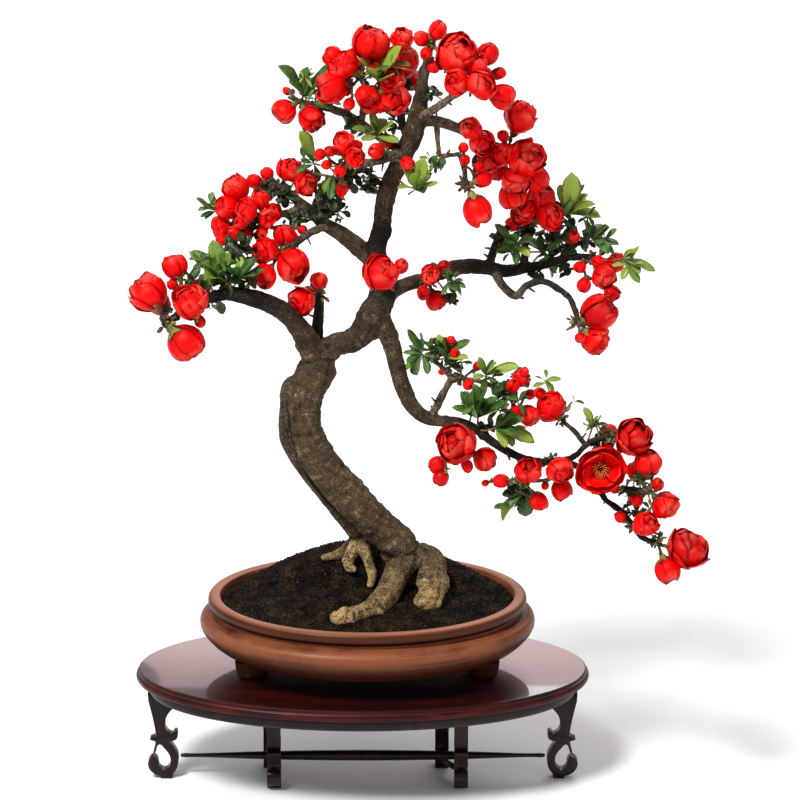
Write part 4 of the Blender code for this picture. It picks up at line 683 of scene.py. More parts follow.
class Paint(Net):
    """A material's node tree, with the patterns that the finishes are made of."""

    def __init__(self, material: Material) -> None:
        """Clears the material's nodes and adds its shader."""
        super().__init__(material.node_tree)
        self.tree.nodes.clear()
        self.shader = self.node("ShaderNodeBsdfPrincipled")
        end = self.node("ShaderNodeOutputMaterial")
        self.tree.links.new(self.shader.outputs[0], end.inputs[0])

    def place(self, stretch: Triple = (1, 1, 1)) -> Wire:
        """The surface's place in the model, in metres, stretched for a pattern."""
        here = self.out("ShaderNodeTexCoord", output="Object")
        return self.out("ShaderNodeMapping", {"Vector": here, "Scale": stretch})

    def attribute(self, name: str) -> Wire:
        """A vector that the mesh carries."""
        return self.out("ShaderNodeAttribute", output="Vector", attribute_name=name)

    def marks(self, name: str = "marks") -> tuple[Wire, ...]:
        """The three numbers of a vector that the mesh carries."""
        made = self.node("ShaderNodeSeparateXYZ", {0: self.attribute(name)})
        return tuple(Wire(self, socket) for socket in made.outputs)

    def cloud(self, where: Wire, scale: float, detail: float = 3.0, rough: float = 0.55,
              warp: float = 0.0) -> Wire:
        """Soft random patches, from 0 to 1."""
        sockets = {"Vector": where, "Scale": scale, "Detail": detail, "Roughness": rough, "Distortion": warp}
        return self.out("ShaderNodeTexNoise", sockets)

    def cells(self, where: Wire, scale: float) -> Wire:
        """Distance to the nearest of many random points."""
        return self.out("ShaderNodeTexVoronoi", {"Vector": where, "Scale": scale})

    def ramp(self, value: Wire, stops: Sequence[tuple[float, Colour]]) -> Wire:
        """A value turned into a colour."""
        return self.out("ShaderNodeValToRGB", {0: value}, stops=stops)

    def mix(self, share: Wire | Number, first: Wire | Colour, second: Wire | Colour) -> Wire:
        """Two colours mixed."""
        colours = [value if isinstance(value, Wire) else (*value, 1.0) for value in (first, second)]
        return self.out("ShaderNodeMix", {0: share, 6: colours[0], 7: colours[1]}, 2, data_type="RGBA")

    def layers(self, colour: Wire | Colour, *layers: tuple[Wire | Number, Colour]) -> Wire:
        """A colour with others laid over it in turn, each by its own share."""
        for share, over in layers:
            colour = self.mix(share, colour, over)
        return colour

    def bump(self, height: Wire, depth: float, strength: float) -> Wire:
        """A surface normal from a height of 0 to 1, that many metres deep."""
        return self.out("ShaderNodeBump", {"Strength": strength, "Distance": depth, "Height": height})

    def set(self, **values: object) -> None:
        """Sets or links the shader's sockets; a name's underscores stand for spaces."""
        for key, value in values.items():
            self.feed(self.shader.inputs[key.replace("_", " ")], value)


@dataclass(frozen=True)
class Finish:
    """A finish: a material that is made once, and a slot name that it carries."""

    name: str
    slot: str

    def material(self) -> Material:
        """The finish's material.

        Returns:
            The material, made when it is first asked for.
        """
        made = bpy.data.materials.get("finish_" + self.name)
        if made is None:
            made = bpy.data.materials.new("finish_" + self.name)
            made.use_nodes = True
            self.lay(Paint(made))
        return made

    def lay(self, paint: Paint) -> None:
        """Lays the finish's nodes."""
        raise NotImplementedError


@dataclass(frozen=True)
class Bark(Finish):
    """Finely speckled grey-brown bark, near black on some limbs, pale where roots are worn."""

    name: str = "bark"
    slot: str = "bark"
    shadow: Colour = (0.008, 0.006, 0.004)
    body: Colour = (0.069, 0.044, 0.022)
    light: Colour = (0.34, 0.245, 0.135)
    grey: Colour = (0.19, 0.160, 0.122)
    worn: Colour = (0.59, 0.390, 0.165)

    def lay(self, paint: Paint) -> None:
        """Lays the bark's nodes: the wood's marks give (girth, tint, share of painted shade in creases and
        clefts).

        The tint runs from -1, near black, to 1, worn pale.

        Args:
            paint: The material's nodes.
        """
        here = paint.place()
        girth, tint, hollow = paint.marks("wood")
        worn, dark = tint.between(0.0, 1.0), (tint * -1).between(0.0, 1.0)
        streak = paint.cloud(paint.attribute("flute"), 2.6, 5.0, 0.62, 0.4)
        wrinkles = paint.cloud(paint.attribute("wrinkle"), 1.0, 3.0, 0.6)
        patches = paint.cloud(here, 60, 5.0, 0.62)
        flecks = paint.cloud(here, 760, 3.0, 0.65)
        pits = paint.cells(here, 430)
        tone = streak * 0.32 + wrinkles * 0.32 + patches * 0.28 + flecks * 0.46 - 0.19
        stops = [(0.39, self.shadow), (0.47, self.body), (0.54, self.body), (0.66, self.light)]
        colour = paint.layers(
            paint.ramp(tone, stops),
            ((1 - girth.between(3.0, 8.0)) * tone.between(0.42, 0.62) * 0.9, self.grey),
            (worn * (patches * 1.2 + 0.2) * tone.between(0.40, 0.56), self.worn),
            ((1 - (flecks - worn * 0.04).between(0.35, 0.44)) * 0.75, self.shadow),
            (dark * (1.35 - patches * 0.7), self.shadow),
            (flecks.between(0.50, 0.60) * patches.between(0.46, 0.60) * (1 - worn) * 0.22, self.grey),
            # painted shade: near black in the creases where limbs meet and along the clefts
            (hollow.between(0.28, 1.0) * 0.95, self.shadow))
        height = streak * 0.5 + wrinkles * 0.85 + flecks * 0.2 + pits * 0.15
        paint.set(Base_Color=colour, Roughness=0.90 - 0.2 * flecks, Specular_IOR_Level=0.16,
                  Normal=paint.bump(height, 0.0016, 0.9))


@dataclass(frozen=True)
class Petal(Finish):
    """Silky red petals with fine veins, deeper at the base and rim and red-orange towards the edge, partly as
    painted shade and highlight.
    """

    name: str = "petal"
    slot: str = "petal"
    deep: Colour = (0.20, 0.0002, 0.0008)
    body: Colour = (0.78, 0.0012, 0.0014)
    coral_and_highlight: Colour = (0.96, 0.090, 0.060)

    def lay(self, paint: Paint) -> None:
        """Lays the petals' nodes: their marks give (across, along, tone).

        Args:
            paint: The material's nodes.
        """
        across, along, tone = paint.marks()
        here = paint.place()
        spread = paint.out("ShaderNodeCombineXYZ", {0: across * 9.0, 1: along * 1.2, 2: tone * 7.0})
        veins = paint.cloud(spread, 1.0, 3.0, 0.6)
        patches = paint.cloud(here, 70, 2.0, 0.5)
        colour = paint.layers(
            # deeper red towards each petal's base: partly its own colour, partly painted shade low in the
            # flower
            self.deep, (along.between(-0.9, 0.0), self.body),
            # pale red-orange patches on the petals' outer parts: partly their own colour, partly a painted
            # highlight
            (patches.between(0.44, 0.64) * along.between(0.2, 0.8) * 0.7, self.coral_and_highlight),
            (veins.between(0.52, 0.78) * 0.25, self.deep), ((tone * -1).between(0.5, 1.3) * 0.5, self.deep),
            # painted shade: a thin darker line along each petal's rim, where petals overlap
            ((across * across + along * along).between(0.9, 1.0) * 0.22, self.deep))
        paint.set(Base_Color=colour, Roughness=0.52 - 0.14 * veins, Specular_IOR_Level=0.12,
                  Subsurface_Weight=0.06, Subsurface_Radius=(0.003, 0.0005, 0.0003),
                  Normal=paint.bump(veins * 0.6 + paint.cloud(here, 420, 2.0) * 0.4, 0.0004, 0.5))


@dataclass(frozen=True)
class Green(Finish):
    """Glossy leaves with a pale midrib; young ones are yellow-green with a red-brown edge."""

    name: str = "leaf"
    slot: str = "leaf"
    deep: Colour = (0.010, 0.045, 0.010)
    body: Colour = (0.050, 0.165, 0.020)
    fresh: Colour = (0.270, 0.385, 0.040)
    edge: Colour = (0.240, 0.060, 0.020)
    shade: Colour = (0.004, 0.007, 0.003)

    def lay(self, paint: Paint) -> None:
        """Lays the leaves' nodes: their marks give (across, along, tone).

        Args:
            paint: The material's nodes.
        """
        across, along, tone = paint.marks()
        away = across.math("ABSOLUTE")
        patches = paint.cloud(paint.place(), 160, 3.0)
        ribs = (along * 44.0 - away * 9.0).math("SINE") * 0.5 + 0.5
        colour = paint.layers(
            self.deep, (patches.between(0.3, 0.7), self.body), (tone.between(0.15, 1.0), self.fresh),
            # painted shade: a leaf with a low tone goes towards near black, as in the crown's shade
            ((tone * -1).between(0.1, 1.0) * 0.92, self.shade),
            (tone.between(0.55, 0.9) * away.between(0.7, 1.0) * 0.8, self.edge),
            ((1 - away.between(0.0, 0.14)) * (tone + 1).between(0.2, 1.0) * 0.5, self.fresh),
            (ribs.between(0.8, 1.0) * 0.2, self.fresh))
        paint.set(Base_Color=colour, Roughness=0.34 + 0.2 * patches, Specular_IOR_Level=0.45,
                  Subsurface_Weight=0.06, Subsurface_Radius=(0.001, 0.002, 0.0005),
                  Normal=paint.bump(away.between(0.0, 0.2) * 0.6 + ribs * 0.3 + patches * 0.3, 0.0005, 0.6))


@dataclass(frozen=True)
class Husk(Finish):
    """Calyxes, bud scales and green shoots: yellow-green, flushed with reddish brown."""

    name: str = "husk"
    slot: str = "leaf"
    green: Colour = (0.20, 0.23, 0.035)
    flush: Colour = (0.20, 0.035, 0.015)

    def lay(self, paint: Paint) -> None:
        """Lays the husks' nodes.

        Args:
            paint: The material's nodes.
        """
        tone = paint.marks()[2]
        patches = paint.cloud(paint.place(), 210, 3.0)
        share = (patches + tone * 0.6 - 0.3).between(0.35, 0.68)
        grain = paint.cloud(paint.place(), 800, 2.0)
        paint.set(Base_Color=paint.mix(share, self.green, self.flush), Roughness=0.48 + 0.2 * patches,
                  Normal=paint.bump(grain, 0.0004, 0.5))


@dataclass(frozen=True)
class Pollen(Finish):
    """Stamens: golden, a little red in places."""

    name: str = "pollen"
    slot: str = "petal"
    red: Colour = (0.85, 0.22, 0.03)
    gold: Colour = (0.95, 0.55, 0.10)

    def lay(self, paint: Paint) -> None:
        """Lays the stamens' nodes.

        Args:
            paint: The material's nodes.
        """
        patches = paint.cloud(paint.place(), 700, 2.0)
        paint.set(Base_Color=paint.mix(patches.between(0.35, 0.7), self.red, self.gold), Roughness=0.75,
                  Normal=paint.bump(patches, 0.0003, 0.5))


@dataclass(frozen=True)
class Earth(Finish):
    """Dark granular soil with a few reddish and pale crumbs."""

    name: str = "soil"
    slot: str = "soil"
    wet: Colour = (0.0015, 0.0012, 0.001)
    body: Colour = (0.007, 0.0045, 0.003)
    dry: Colour = (0.050, 0.029, 0.016)
    crumb: Colour = (0.26, 0.160, 0.095)

    def lay(self, paint: Paint) -> None:
        """Lays the soil's nodes.

        Args:
            paint: The material's nodes.
        """
        here = paint.place()
        cells = paint.cells(here, 330)
        patches = paint.cloud(here, 60, 4.0, 0.6)
        flecks = paint.cloud(here, 620, 2.0)
        stops = [(0.42, self.wet), (0.56, self.body), (0.72, self.dry)]
        colour = paint.ramp(patches * 0.5 + flecks * 0.6, stops)
        colour = paint.mix(flecks.between(0.68, 0.74) * 0.8, colour, self.crumb)
        paint.set(Base_Color=colour, Roughness=0.98 - 0.1 * flecks, Specular_IOR_Level=0.08,
                  Normal=paint.bump((1 - cells) * 0.7 + flecks * 0.5, 0.0018, 0.9))


@dataclass(frozen=True)
class Clay(Finish):
    """Unglazed reddish-brown clay with a soft sheen, paler and pinker on its worn rim, with painted shade and
    a painted highlight.
    """

    name: str = "clay"
    slot: str = "clay"
    dark: Colour = (0.034, 0.006, 0.002)
    body: Colour = (0.215, 0.064, 0.028)
    pale: Colour = (0.30, 0.112, 0.060)

    def lay(self, paint: Paint) -> None:
        """Lays the clay's nodes: the marks give (painted shade, height, paleness of the worn rim and of a
        painted highlight).

        Args:
            paint: The material's nodes.
        """
        shade, height, wear_and_highlight = paint.marks()
        here = paint.place()
        patches = paint.cloud(here, 28, 4.0, 0.55)
        grain = paint.cloud(here, 1400, 2.0, 0.6)
        rings = paint.cloud(paint.place((6, 6, 420)), 1.0, 3.0)
        colour = paint.layers(
            self.dark, ((patches * 0.45 + rings * 0.55).between(0.30, 0.56), self.body),
            # painted shade: darker towards the pot's underside, and on the neck and the lip's face by the
            # shade mark
            ((1 - height.between(0.40, 0.74)) * 0.97, self.dark), (shade, self.dark),
            # paler on the worn rim, and a painted highlight band high on the belly
            (wear_and_highlight * (patches * 0.5 + 0.5), self.pale), (grain.between(0.6, 0.75) * 0.25, self.dark))
        paint.set(Base_Color=colour, Roughness=0.36 + 0.16 * patches, Specular_IOR_Level=0.28,
                  Specular_Tint=(1.0, 0.60, 0.42, 1.0), Coat_Weight=0.04, Coat_Roughness=0.22,
                  Normal=paint.bump(grain * 0.4 + rings * 0.4 + patches * 0.4, 0.0005, 0.4))


@dataclass(frozen=True)
class Lacquer(Finish):
    """Dark red lacquered rosewood: fine long grain under a clear gloss."""

    name: str = "lacquer"
    slot: str = "lacquer"
    stretch: Triple = (3.0, 40.0, 40.0)
    dark: Colour = (0.004, 0.0006, 0.0006)
    body: Colour = (0.021, 0.0010, 0.0009)
    light: Colour = (0.078, 0.0038, 0.0028)
    gloss: float = 1.0

    def lay(self, paint: Paint) -> None:
        """Lays the lacquer's nodes.

        Args:
            paint: The material's nodes.
        """
        here = paint.place(self.stretch)
        flow = paint.cloud(here, 1.6, 4.0, 0.6, 0.8)
        pores = paint.cloud(paint.place(tuple(12 * way for way in self.stretch)), 1.0, 2.0)
        patches = paint.cloud(paint.place(), 9, 3.0)
        tone = flow * 0.8 + patches * 0.3 - 0.04
        colour = paint.ramp(tone, [(0.32, self.dark), (0.52, self.body), (0.74, self.light)])
        colour = paint.mix(pores.between(0.58, 0.72) * 0.6, colour, self.dark)
        paint.set(Base_Color=colour, Roughness=0.30 + 0.16 * pores, Coat_Weight=self.gloss,
                  Coat_Roughness=0.07, Specular_IOR_Level=0.12 + 0.38 * self.gloss,
                  Coat_IOR=1.5 + 0.15 * self.gloss,
                  Normal=paint.bump(pores * 0.6 + flow * 0.4, 0.00025, 0.35))


BARK, PETAL, GREEN, HUSK, POLLEN = Bark(), Petal(), Green(), Husk(), Pollen()
EARTH, CLAY, LACQUER = Earth(), Clay(), Lacquer()
SPUR = Bark("bark_spur", light=(0.05, 0.037, 0.028))
# the mouldings' lacquer: nearly without gloss, and a brighter red that is partly a painted highlight along
# the bead
MOULDED = Lacquer("lacquer_moulded", dark=(0.006, 0.0008, 0.0008), body=(0.034, 0.0016, 0.0014),
                  light=(0.10, 0.006, 0.0045), gloss=0.02)
CARVED = Lacquer("lacquer_carved", stretch=(38.0, 38.0, 4.0), dark=(0.003, 0.0012, 0.001),
                 body=(0.012, 0.0035, 0.0026), light=(0.035, 0.010, 0.007), gloss=0.12)


def set_on(piece: Object, finish: Finish, *nodes: str) -> None:
    """Hides the CAD nodes that a finished piece stands for, and lets the piece ride on the one body.

    Args:
        piece: The finished object.
        finish: The finish that most of it has; not used.
        *nodes: The CAD nodes that it stands for.
    """
    if nodes:
        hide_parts(*nodes)
    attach(piece, "root")
    LOG.info("%s: %d faces", piece.name, len(piece.data.polygons))


class Grain(Enum):
    """The small shapes that Geometry Nodes strews."""

    CONE = "GeometryNodeMeshCone"
    BALL = "GeometryNodeMeshIcoSphere"


@dataclass
class Garden(Net):
    """A Geometry Nodes tree with one geometry input, sizes by name, and one geometry output."""

    name: str
    sizes: dict[str, tuple[str, Number]]

    def __post_init__(self) -> None:
        """Makes the tree and its named inputs."""
        Net.__init__(self, bpy.data.node_groups.new(self.name, "GeometryNodeTree"))
        face = self.tree.interface
        face.new_socket("Geometry", in_out="INPUT", socket_type="NodeSocketGeometry")
        for label, (kind, value) in self.sizes.items():
            face.new_socket(label, in_out="INPUT", socket_type="NodeSocket" + kind).default_value = value
        face.new_socket("Geometry", in_out="OUTPUT", socket_type="NodeSocketGeometry")
        self.entry = self.node("NodeGroupInput")

    def given(self, label: str) -> Wire:
        """An input of the tree."""
        return Wire(self, self.entry.outputs[label])

    def end(self, geometry: Wire, finish: Finish) -> None:
        """Realises the instances, gives them their finish, and ends the tree.

        Args:
            geometry: The instances.
            finish: What they are made of.
        """
        whole = self.out("GeometryNodeRealizeInstances", {0: geometry})
        smooth = self.out("GeometryNodeSetShadeSmooth", {0: whole})
        coated = self.out("GeometryNodeSetMaterial", {0: smooth, "Material": finish.material()})
        self.node("NodeGroupOutput", {0: coated})

    def grow(self, bed: Object, name: str, values: dict[str, Number]) -> Object:
        """Runs the tree on an object and keeps the result as a plain mesh.

        Args:
            bed: The object that it grows on, which is removed.
            name: Name of the new piece.
            values: Values of the tree's named inputs.

        Returns:
            The new object.
        """
        step = bed.modifiers.new("grow", "NODES")
        step.node_group = self.tree
        for item in self.tree.interface.items_tree:
            if item.in_out == "INPUT" and item.name in values:
                step[item.identifier] = values[item.name]
        mesh = evaluated(bed)
        bpy.data.objects.remove(bed)
        mesh.name = name
        return shown(name, mesh)


@dataclass
class Strewn:
    """Small like shapes that stand on chosen points: spurs, stamens, anthers."""

    name: str
    grain: Grain
    finish: Finish
    rows: list[tuple[Vector, Vector, float, float]] = field(default_factory=list)

    def add(self, place: Vector, way: Vector, long: float, wide: float) -> None:
        """Adds one shape: its middle, the way it points, its length and its width."""
        self.rows.append((place, way, long, wide))

    def build(self) -> Object:
        """Makes the piece.

        Returns:
            The piece, as a plain mesh.
        """
        mesh = bpy.data.meshes.new(self.name)
        mesh.from_pydata([tuple(row[0] * MM) for row in self.rows], [], [])
        carry(mesh, "way", [tuple(row[1]) for row in self.rows])
        carry(mesh, "size", [(wide * MM / 2, wide * MM / 2, long * MM / 2) for _, _, long, wide in self.rows])
        garden = Garden(self.name, {"Sides": ("Int", 6)})
        if self.grain is Grain.CONE:
            sides = garden.given("Sides")
            sizes = {"Vertices": sides, "Radius Top": 0.55, "Radius Bottom": 1.0, "Depth": 2.0}
            cone = garden.out(self.grain.value, sizes)
            shape = garden.out("GeometryNodeTransform", {0: cone, "Translation": (0, 0, -1)})
        else:
            shape = garden.out(self.grain.value, {"Radius": 1.0, "Subdivisions": 1})
        way, size = (garden.out("GeometryNodeInputNamedAttribute", {0: label}, data_type="FLOAT_VECTOR")
                     for label in ("way", "size"))
        turn = garden.out("FunctionNodeAlignRotationToVector", {"Vector": way}, axis="Z")
        sockets = {0: garden.given("Geometry"), "Instance": shape, "Rotation": turn, "Scale": size}
        garden.end(garden.out("GeometryNodeInstanceOnPoints", sockets), self.finish)
        return garden.grow(shown(self.name + "_bed", mesh), self.name, {"Sides": 6})


class Spot(NamedTuple):
    """A point on the middle line of a limb."""

    place: Vector
    radius: float
    way: Vector
    run: float
    tint: float
    name: str


@dataclass
class Route:
    """One limb: its knots in the model, how many of them are thick wood, and whether it is worn bare."""

    name: str
    knots: np.ndarray
    fused: int
    worn: bool

    def tint(self, share: float) -> float:
        """How its bark differs at a share of its length: -1 is near black, and 1 is worn pale.

        Args:
            share: The share, from 0 at its root to 1 at its tip.

        Returns:
            The tint.
        """
        if self.name == "strand":
            return (share - 0.8) * 3 if share > 0.8 else -0.30 * min(1.0, (0.8 - share) * 8)
        if self.worn:
            foot, rise = ROOT_WEAR.get(self.name, (0.12, 0.88))
            return foot + rise * share ** 1.6
        start, depth, end = (*DARK_BARK.get(self.name, (0.0, 0.0)), PAST_TIP)[:3]
        tint = -depth * min(1.0, max(0.0, min((share - start) / 0.12, (end - share) / 0.12)))
        return min(tint, -LIMB_SHADE * min(1.0, share * 8)) if self.name in LIMB_ROUTES else tint


@dataclass
class Wood:
    """Roots, trunk and limbs fused under one skin of bark, with young twigs growing out of it."""

    voxel: float = 1.42            # grain of the fused skin
    swell: float = 1.04            # how much thicker the wood is than its tables
    relief: float = 1.35           # depth of the bark
    weighed: int = 9               # how many points of the middle lines are tried for the nearest
    crease_reach: float = 4.2      # how near another limb's bark is where a crease starts
    crease_depth: float = 1.1
    rng: random.Random = field(default_factory=lambda: random.Random(7))
    line: list[Spot] = field(default_factory=list)

    def __post_init__(self) -> None:
        """Lays out the routes and the line of points along their middles."""
        self.routes = []
        for table in (TRUNK_ROUTES, LIMB_ROUTES, BRANCH_ROUTES):
            place = placed if table is TRUNK_ROUTES else in_crown
            for name, knots in table.items():
                rows = np.array([(*place(a, d, b), r * self.swell) for a, d, b, r in knots])
                thin = rows[:, 3] <= (THICK_WOOD if table is not TRUNK_ROUTES else 0.0)
                fused = int(np.argmax(thin)) if thin.any() else len(rows)
                self.routes.append(Route(name, rows, fused, "root" in name or name == "strand"))
        for route in self.routes:
            path = curve(route.knots, 6)
            ways = np.gradient(path[:, :3], axis=0)
            runs = np.concatenate([[0.0], np.cumsum(np.linalg.norm(np.diff(path[:, :3], axis=0), axis=1))])
            for point, way, run in zip(path, ways, runs):
                tint = route.tint(run / runs[-1])
                self.line.append(Spot(Vector(point[:3]), float(point[3]), Vector(way).normalized(),
                                      float(run), tint, route.name))
        self.finder = KDTree(len(self.line))
        for index, spot in enumerate(self.line):
            self.finder.insert(spot.place, index)
        self.finder.balance()
        self.clefts = np.array([(*placed(*knot[:3]), knot[3]) for row in CLEFTS
                                for knot in curve(row, 8)])

    def nearest(self, place: Vector) -> tuple[Spot, float, float]:
        """The point of the limbs' middle lines whose bark is nearest to a place.

        Args:
            place: The place.

        Returns:
            The point, its bark's distance, and the distance of the next limb's bark.
        """
        near = self.finder.find_n(place, self.weighed)
        found = sorted((away - self.line[index].radius, index) for _, index, away in near)
        away, best = found[0][0], self.line[found[0][1]]
        other = next((far for far, index in found if self.line[index].name != best.name), away + FAR)
        return best, away, other

    def knuckles(self, shape: Shape, path: np.ndarray) -> None:
        """Adds the knuckles on the outer half of a root.

        Args:
            shape: Where they go.
            path: Rows of (x, y, z, radius) along the root.
        """
        draw = self.rng.uniform
        for index, point in enumerate(path[int(len(path) * 0.5):]):
            for _ in range(1 + (index > len(path) * 0.3)):
                way = Vector((draw(-1, 1), draw(-1, 1), draw(-0.2, 1))).normalized()
                size = point[3] * draw(0.36, 0.56)
                centre = Vector(point[:3]) + way * (point[3] * draw(0.62, 0.84))
                shape.egg(centre, way.orthogonal(), size * 2.9, size * 2.2, sides=9)

    def knobs(self, shape: Shape) -> None:
        """Adds old scars and swellings along the limbs, before they are fused.

        Args:
            shape: Where they go.
        """
        for route in self.routes:
            thick = route.knots[:route.fused]
            if "root" in route.name and route.name != "back_root":
                self.knuckles(shape, curve(thick, 6))
            if len(thick) < 3 or route.worn:
                continue
            path = curve(thick, 3)
            for point, after in zip(path[3:-2:4], path[4:-1:4]):
                way = Vector(after[:3] - point[:3]).normalized()
                side = sideways(way, self.rng)
                big = route.name in ("trunk", "stump")
                size = point[3] * self.rng.uniform(0.75, 0.95) * (0.8 if big else 1.0)
                centre = Vector(point[:3]) + side * (point[3] * self.rng.uniform(0.30, 0.48))
                shape.egg(centre, way, size * 2.3, size * 1.75, sides=10, levels=7)

    def fused_skin(self) -> Object:
        """The thick wood as one closed skin, before its bark.

        Returns:
            The object, with its mesh in metres.
        """
        shape = Shape()
        for index, route in enumerate(self.routes):
            if route.fused >= 2:
                sides = 20 if route.name in ("trunk", "stump") else 12
                shape.tube(curve(route.knots[:route.fused], 5), sides, lumps=0.10, seed=index * 5.3)
        self.knobs(shape)
        made = shape.piece("wood_bark", [BARK])
        step = made.modifiers.new("fuse", "REMESH")
        step.mode, step.voxel_size = "VOXEL", self.voxel * MM
        mesh = evaluated(made)
        made.modifiers.clear()
        made.data = mesh
        return made

    @staticmethod
    def smooth(mesh: Mesh, points: np.ndarray, rounds: int, back: float = 0.58) -> np.ndarray:
        """Evens out numbers over a mesh, each towards the mean of its neighbours.

        Args:
            mesh: The mesh, whose edges say which points are neighbours.
            points: The numbers, one row for each of its points.
            rounds: How many times.
            back: How far each round goes back again, so that the shape doesn't shrink.

        Returns:
            The new numbers.
        """
        edges = np.empty(len(mesh.edges) * 2, np.int32)
        mesh.edges.foreach_get("vertices", edges)
        edges = edges.reshape(-1, 2)
        count = np.bincount(edges.ravel(), minlength=len(points))[:, None]
        for index in range(rounds * 2):
            total = np.zeros_like(points)
            for near, far in ((0, 1), (1, 0)):
                np.add.at(total, edges[:, near], points[edges[:, far]])
            points = points + (total / count - points) * (0.6 if index % 2 == 0 else -back)
        return points

    def bark(self) -> Object:
        """The fused wood with its bark's relief and the marks that its finish reads.

        Returns:
            The object.
        """
        made = self.fused_skin()
        mesh = made.data
        points = np.empty(len(mesh.vertices) * 3)
        mesh.vertices.foreach_get("co", points)
        points = self.smooth(mesh, points.reshape(-1, 3) / MM, 3)
        mesh.vertices.foreach_set("co", (points * MM).ravel())
        mesh.update()
        normals = np.array([vertex.normal for vertex in mesh.vertices])
        rise = self.mark(mesh, points)
        mesh.vertices.foreach_set("co", ((points + normals * rise[:, None]) * MM).ravel())
        mesh.materials.clear()
        mesh.materials.append(BARK.material())
        mesh.update()
        mesh.shade_smooth()
        return made

    def mark(self, mesh: Mesh, points: np.ndarray) -> np.ndarray:
        """Gives a mesh the marks that the bark's finish reads.

        Args:
            mesh: The mesh.
            points: Its points, in millimetres.

        Returns:
            How far the bark's relief lifts each point, in millimetres.
        """
        flute, wood, wrinkle = (np.zeros((len(points), 3)) for _ in range(3))
        rise = np.zeros(len(points))
        for index, row in enumerate(points):
            place = Vector(row)
            (centre, radius, way, run, tint, name), away, other = self.nearest(place)
            out = place - centre
            out = (out - way * out.dot(way)).normalized()
            where = out * (0.8 + 0.05 * radius) + Vector((0.013 * run, 0.009 * run, 0.03 * run))
            across = out * 0.55 + Vector((0.21 * run, 0.03 * run, 0.0))
            flutes = noise.fractal(where * 1.6, 0.9, 2.1, 3)
            lumps = noise.noise(place * 0.055)
            crumbs = noise.noise(place * 0.30) + 0.6 * noise.noise(place * 0.62)
            ridges = 1 - 2 * abs(noise.noise(across))
            depth = min(radius * 0.085, self.relief) * (1.5 if tint > 0.3 else 1.0)
            fused = name in ("trunk", "strand", "stump")
            crease = max(0.0, 1 - abs(other - away) / self.crease_reach) if fused else 0.0
            gaps = np.linalg.norm(self.clefts[:, :3] - row, axis=1) / (self.clefts[:, 3] * 1.7)
            cleft = float(np.max(1 - gaps))
            relief = depth * (0.75 * flutes + 0.6 * lumps + 0.38 * crumbs + 0.34 * ridges)
            rise[index] = relief - self.crease_depth * crease
            flute[index], wrinkle[index] = where, across * 1.6
            # the third number says where shade is painted: in the creases where limbs meet and along the
            # clefts
            wood[index] = (radius, tint, max(crease, min(1.0, cleft * 1.8)))
        wood[:, :2] = self.smooth(mesh, wood[:, :2], 8, back=0.0)
        for label, values in (("flute", flute), ("wood", wood), ("wrinkle", wrinkle)):
            carry(mesh, label, values)
        return rise

    def twigs(self) -> tuple[Object, Object]:
        """The young twigs, knobbly and tapering, and the short spurs along them.

        Returns:
            The two objects.
        """
        shape = Shape()
        spurs = Strewn("wood_spurs", Grain.CONE, SPUR)
        for index, route in enumerate(self.routes):
            start = max(route.fused - 2, 0)
            if len(route.knots) - start >= 2 and route.fused < len(route.knots):
                path = curve(route.knots[start:], 6)
                path[:, 3] *= np.linspace(1.0, 1.3, len(path))
                shape.tube(path, 9, lumps=0.42, seed=index * 3.7)
            if route.worn or route.name in ("stump", "trunk"):
                continue
            path = curve(route.knots, 4)
            for point, after in zip(path[2:-1:2], path[3::2]):
                if point[3] > 6.5 or self.rng.random() < 0.3:
                    continue
                way = Vector(after[:3] - point[:3]).normalized()
                lean = (sideways(way, self.rng) + way * self.rng.uniform(0.1, 0.9)).normalized()
                long = self.rng.uniform(1.2, 4.2) + point[3]
                spurs.add(Vector(point[:3]) + lean * long, lean, long, self.rng.uniform(2.4, 4.2))
        made = shape.piece("wood_twigs", [BARK])
        self.mark(made.data, np.concatenate(shape.points))
        return made, spurs.build()

    def build(self) -> None:
        """Builds the wood's pieces."""
        set_on(self.bark(), BARK, "tree_wood")
        for made in self.twigs():
            set_on(made, BARK)


class Kind(Enum):
    """How far a flower is open."""

    BUD = "bud"
    GLOBE = "globe"
    RUFFLED = "ruffled"
    OPEN = "open"


# How high above its base a flower's middle lies, as a share of its width
CENTRES = {Kind.BUD: 0.54, Kind.GLOBE: 0.5, Kind.RUFFLED: 0.45, Kind.OPEN: 0.3}


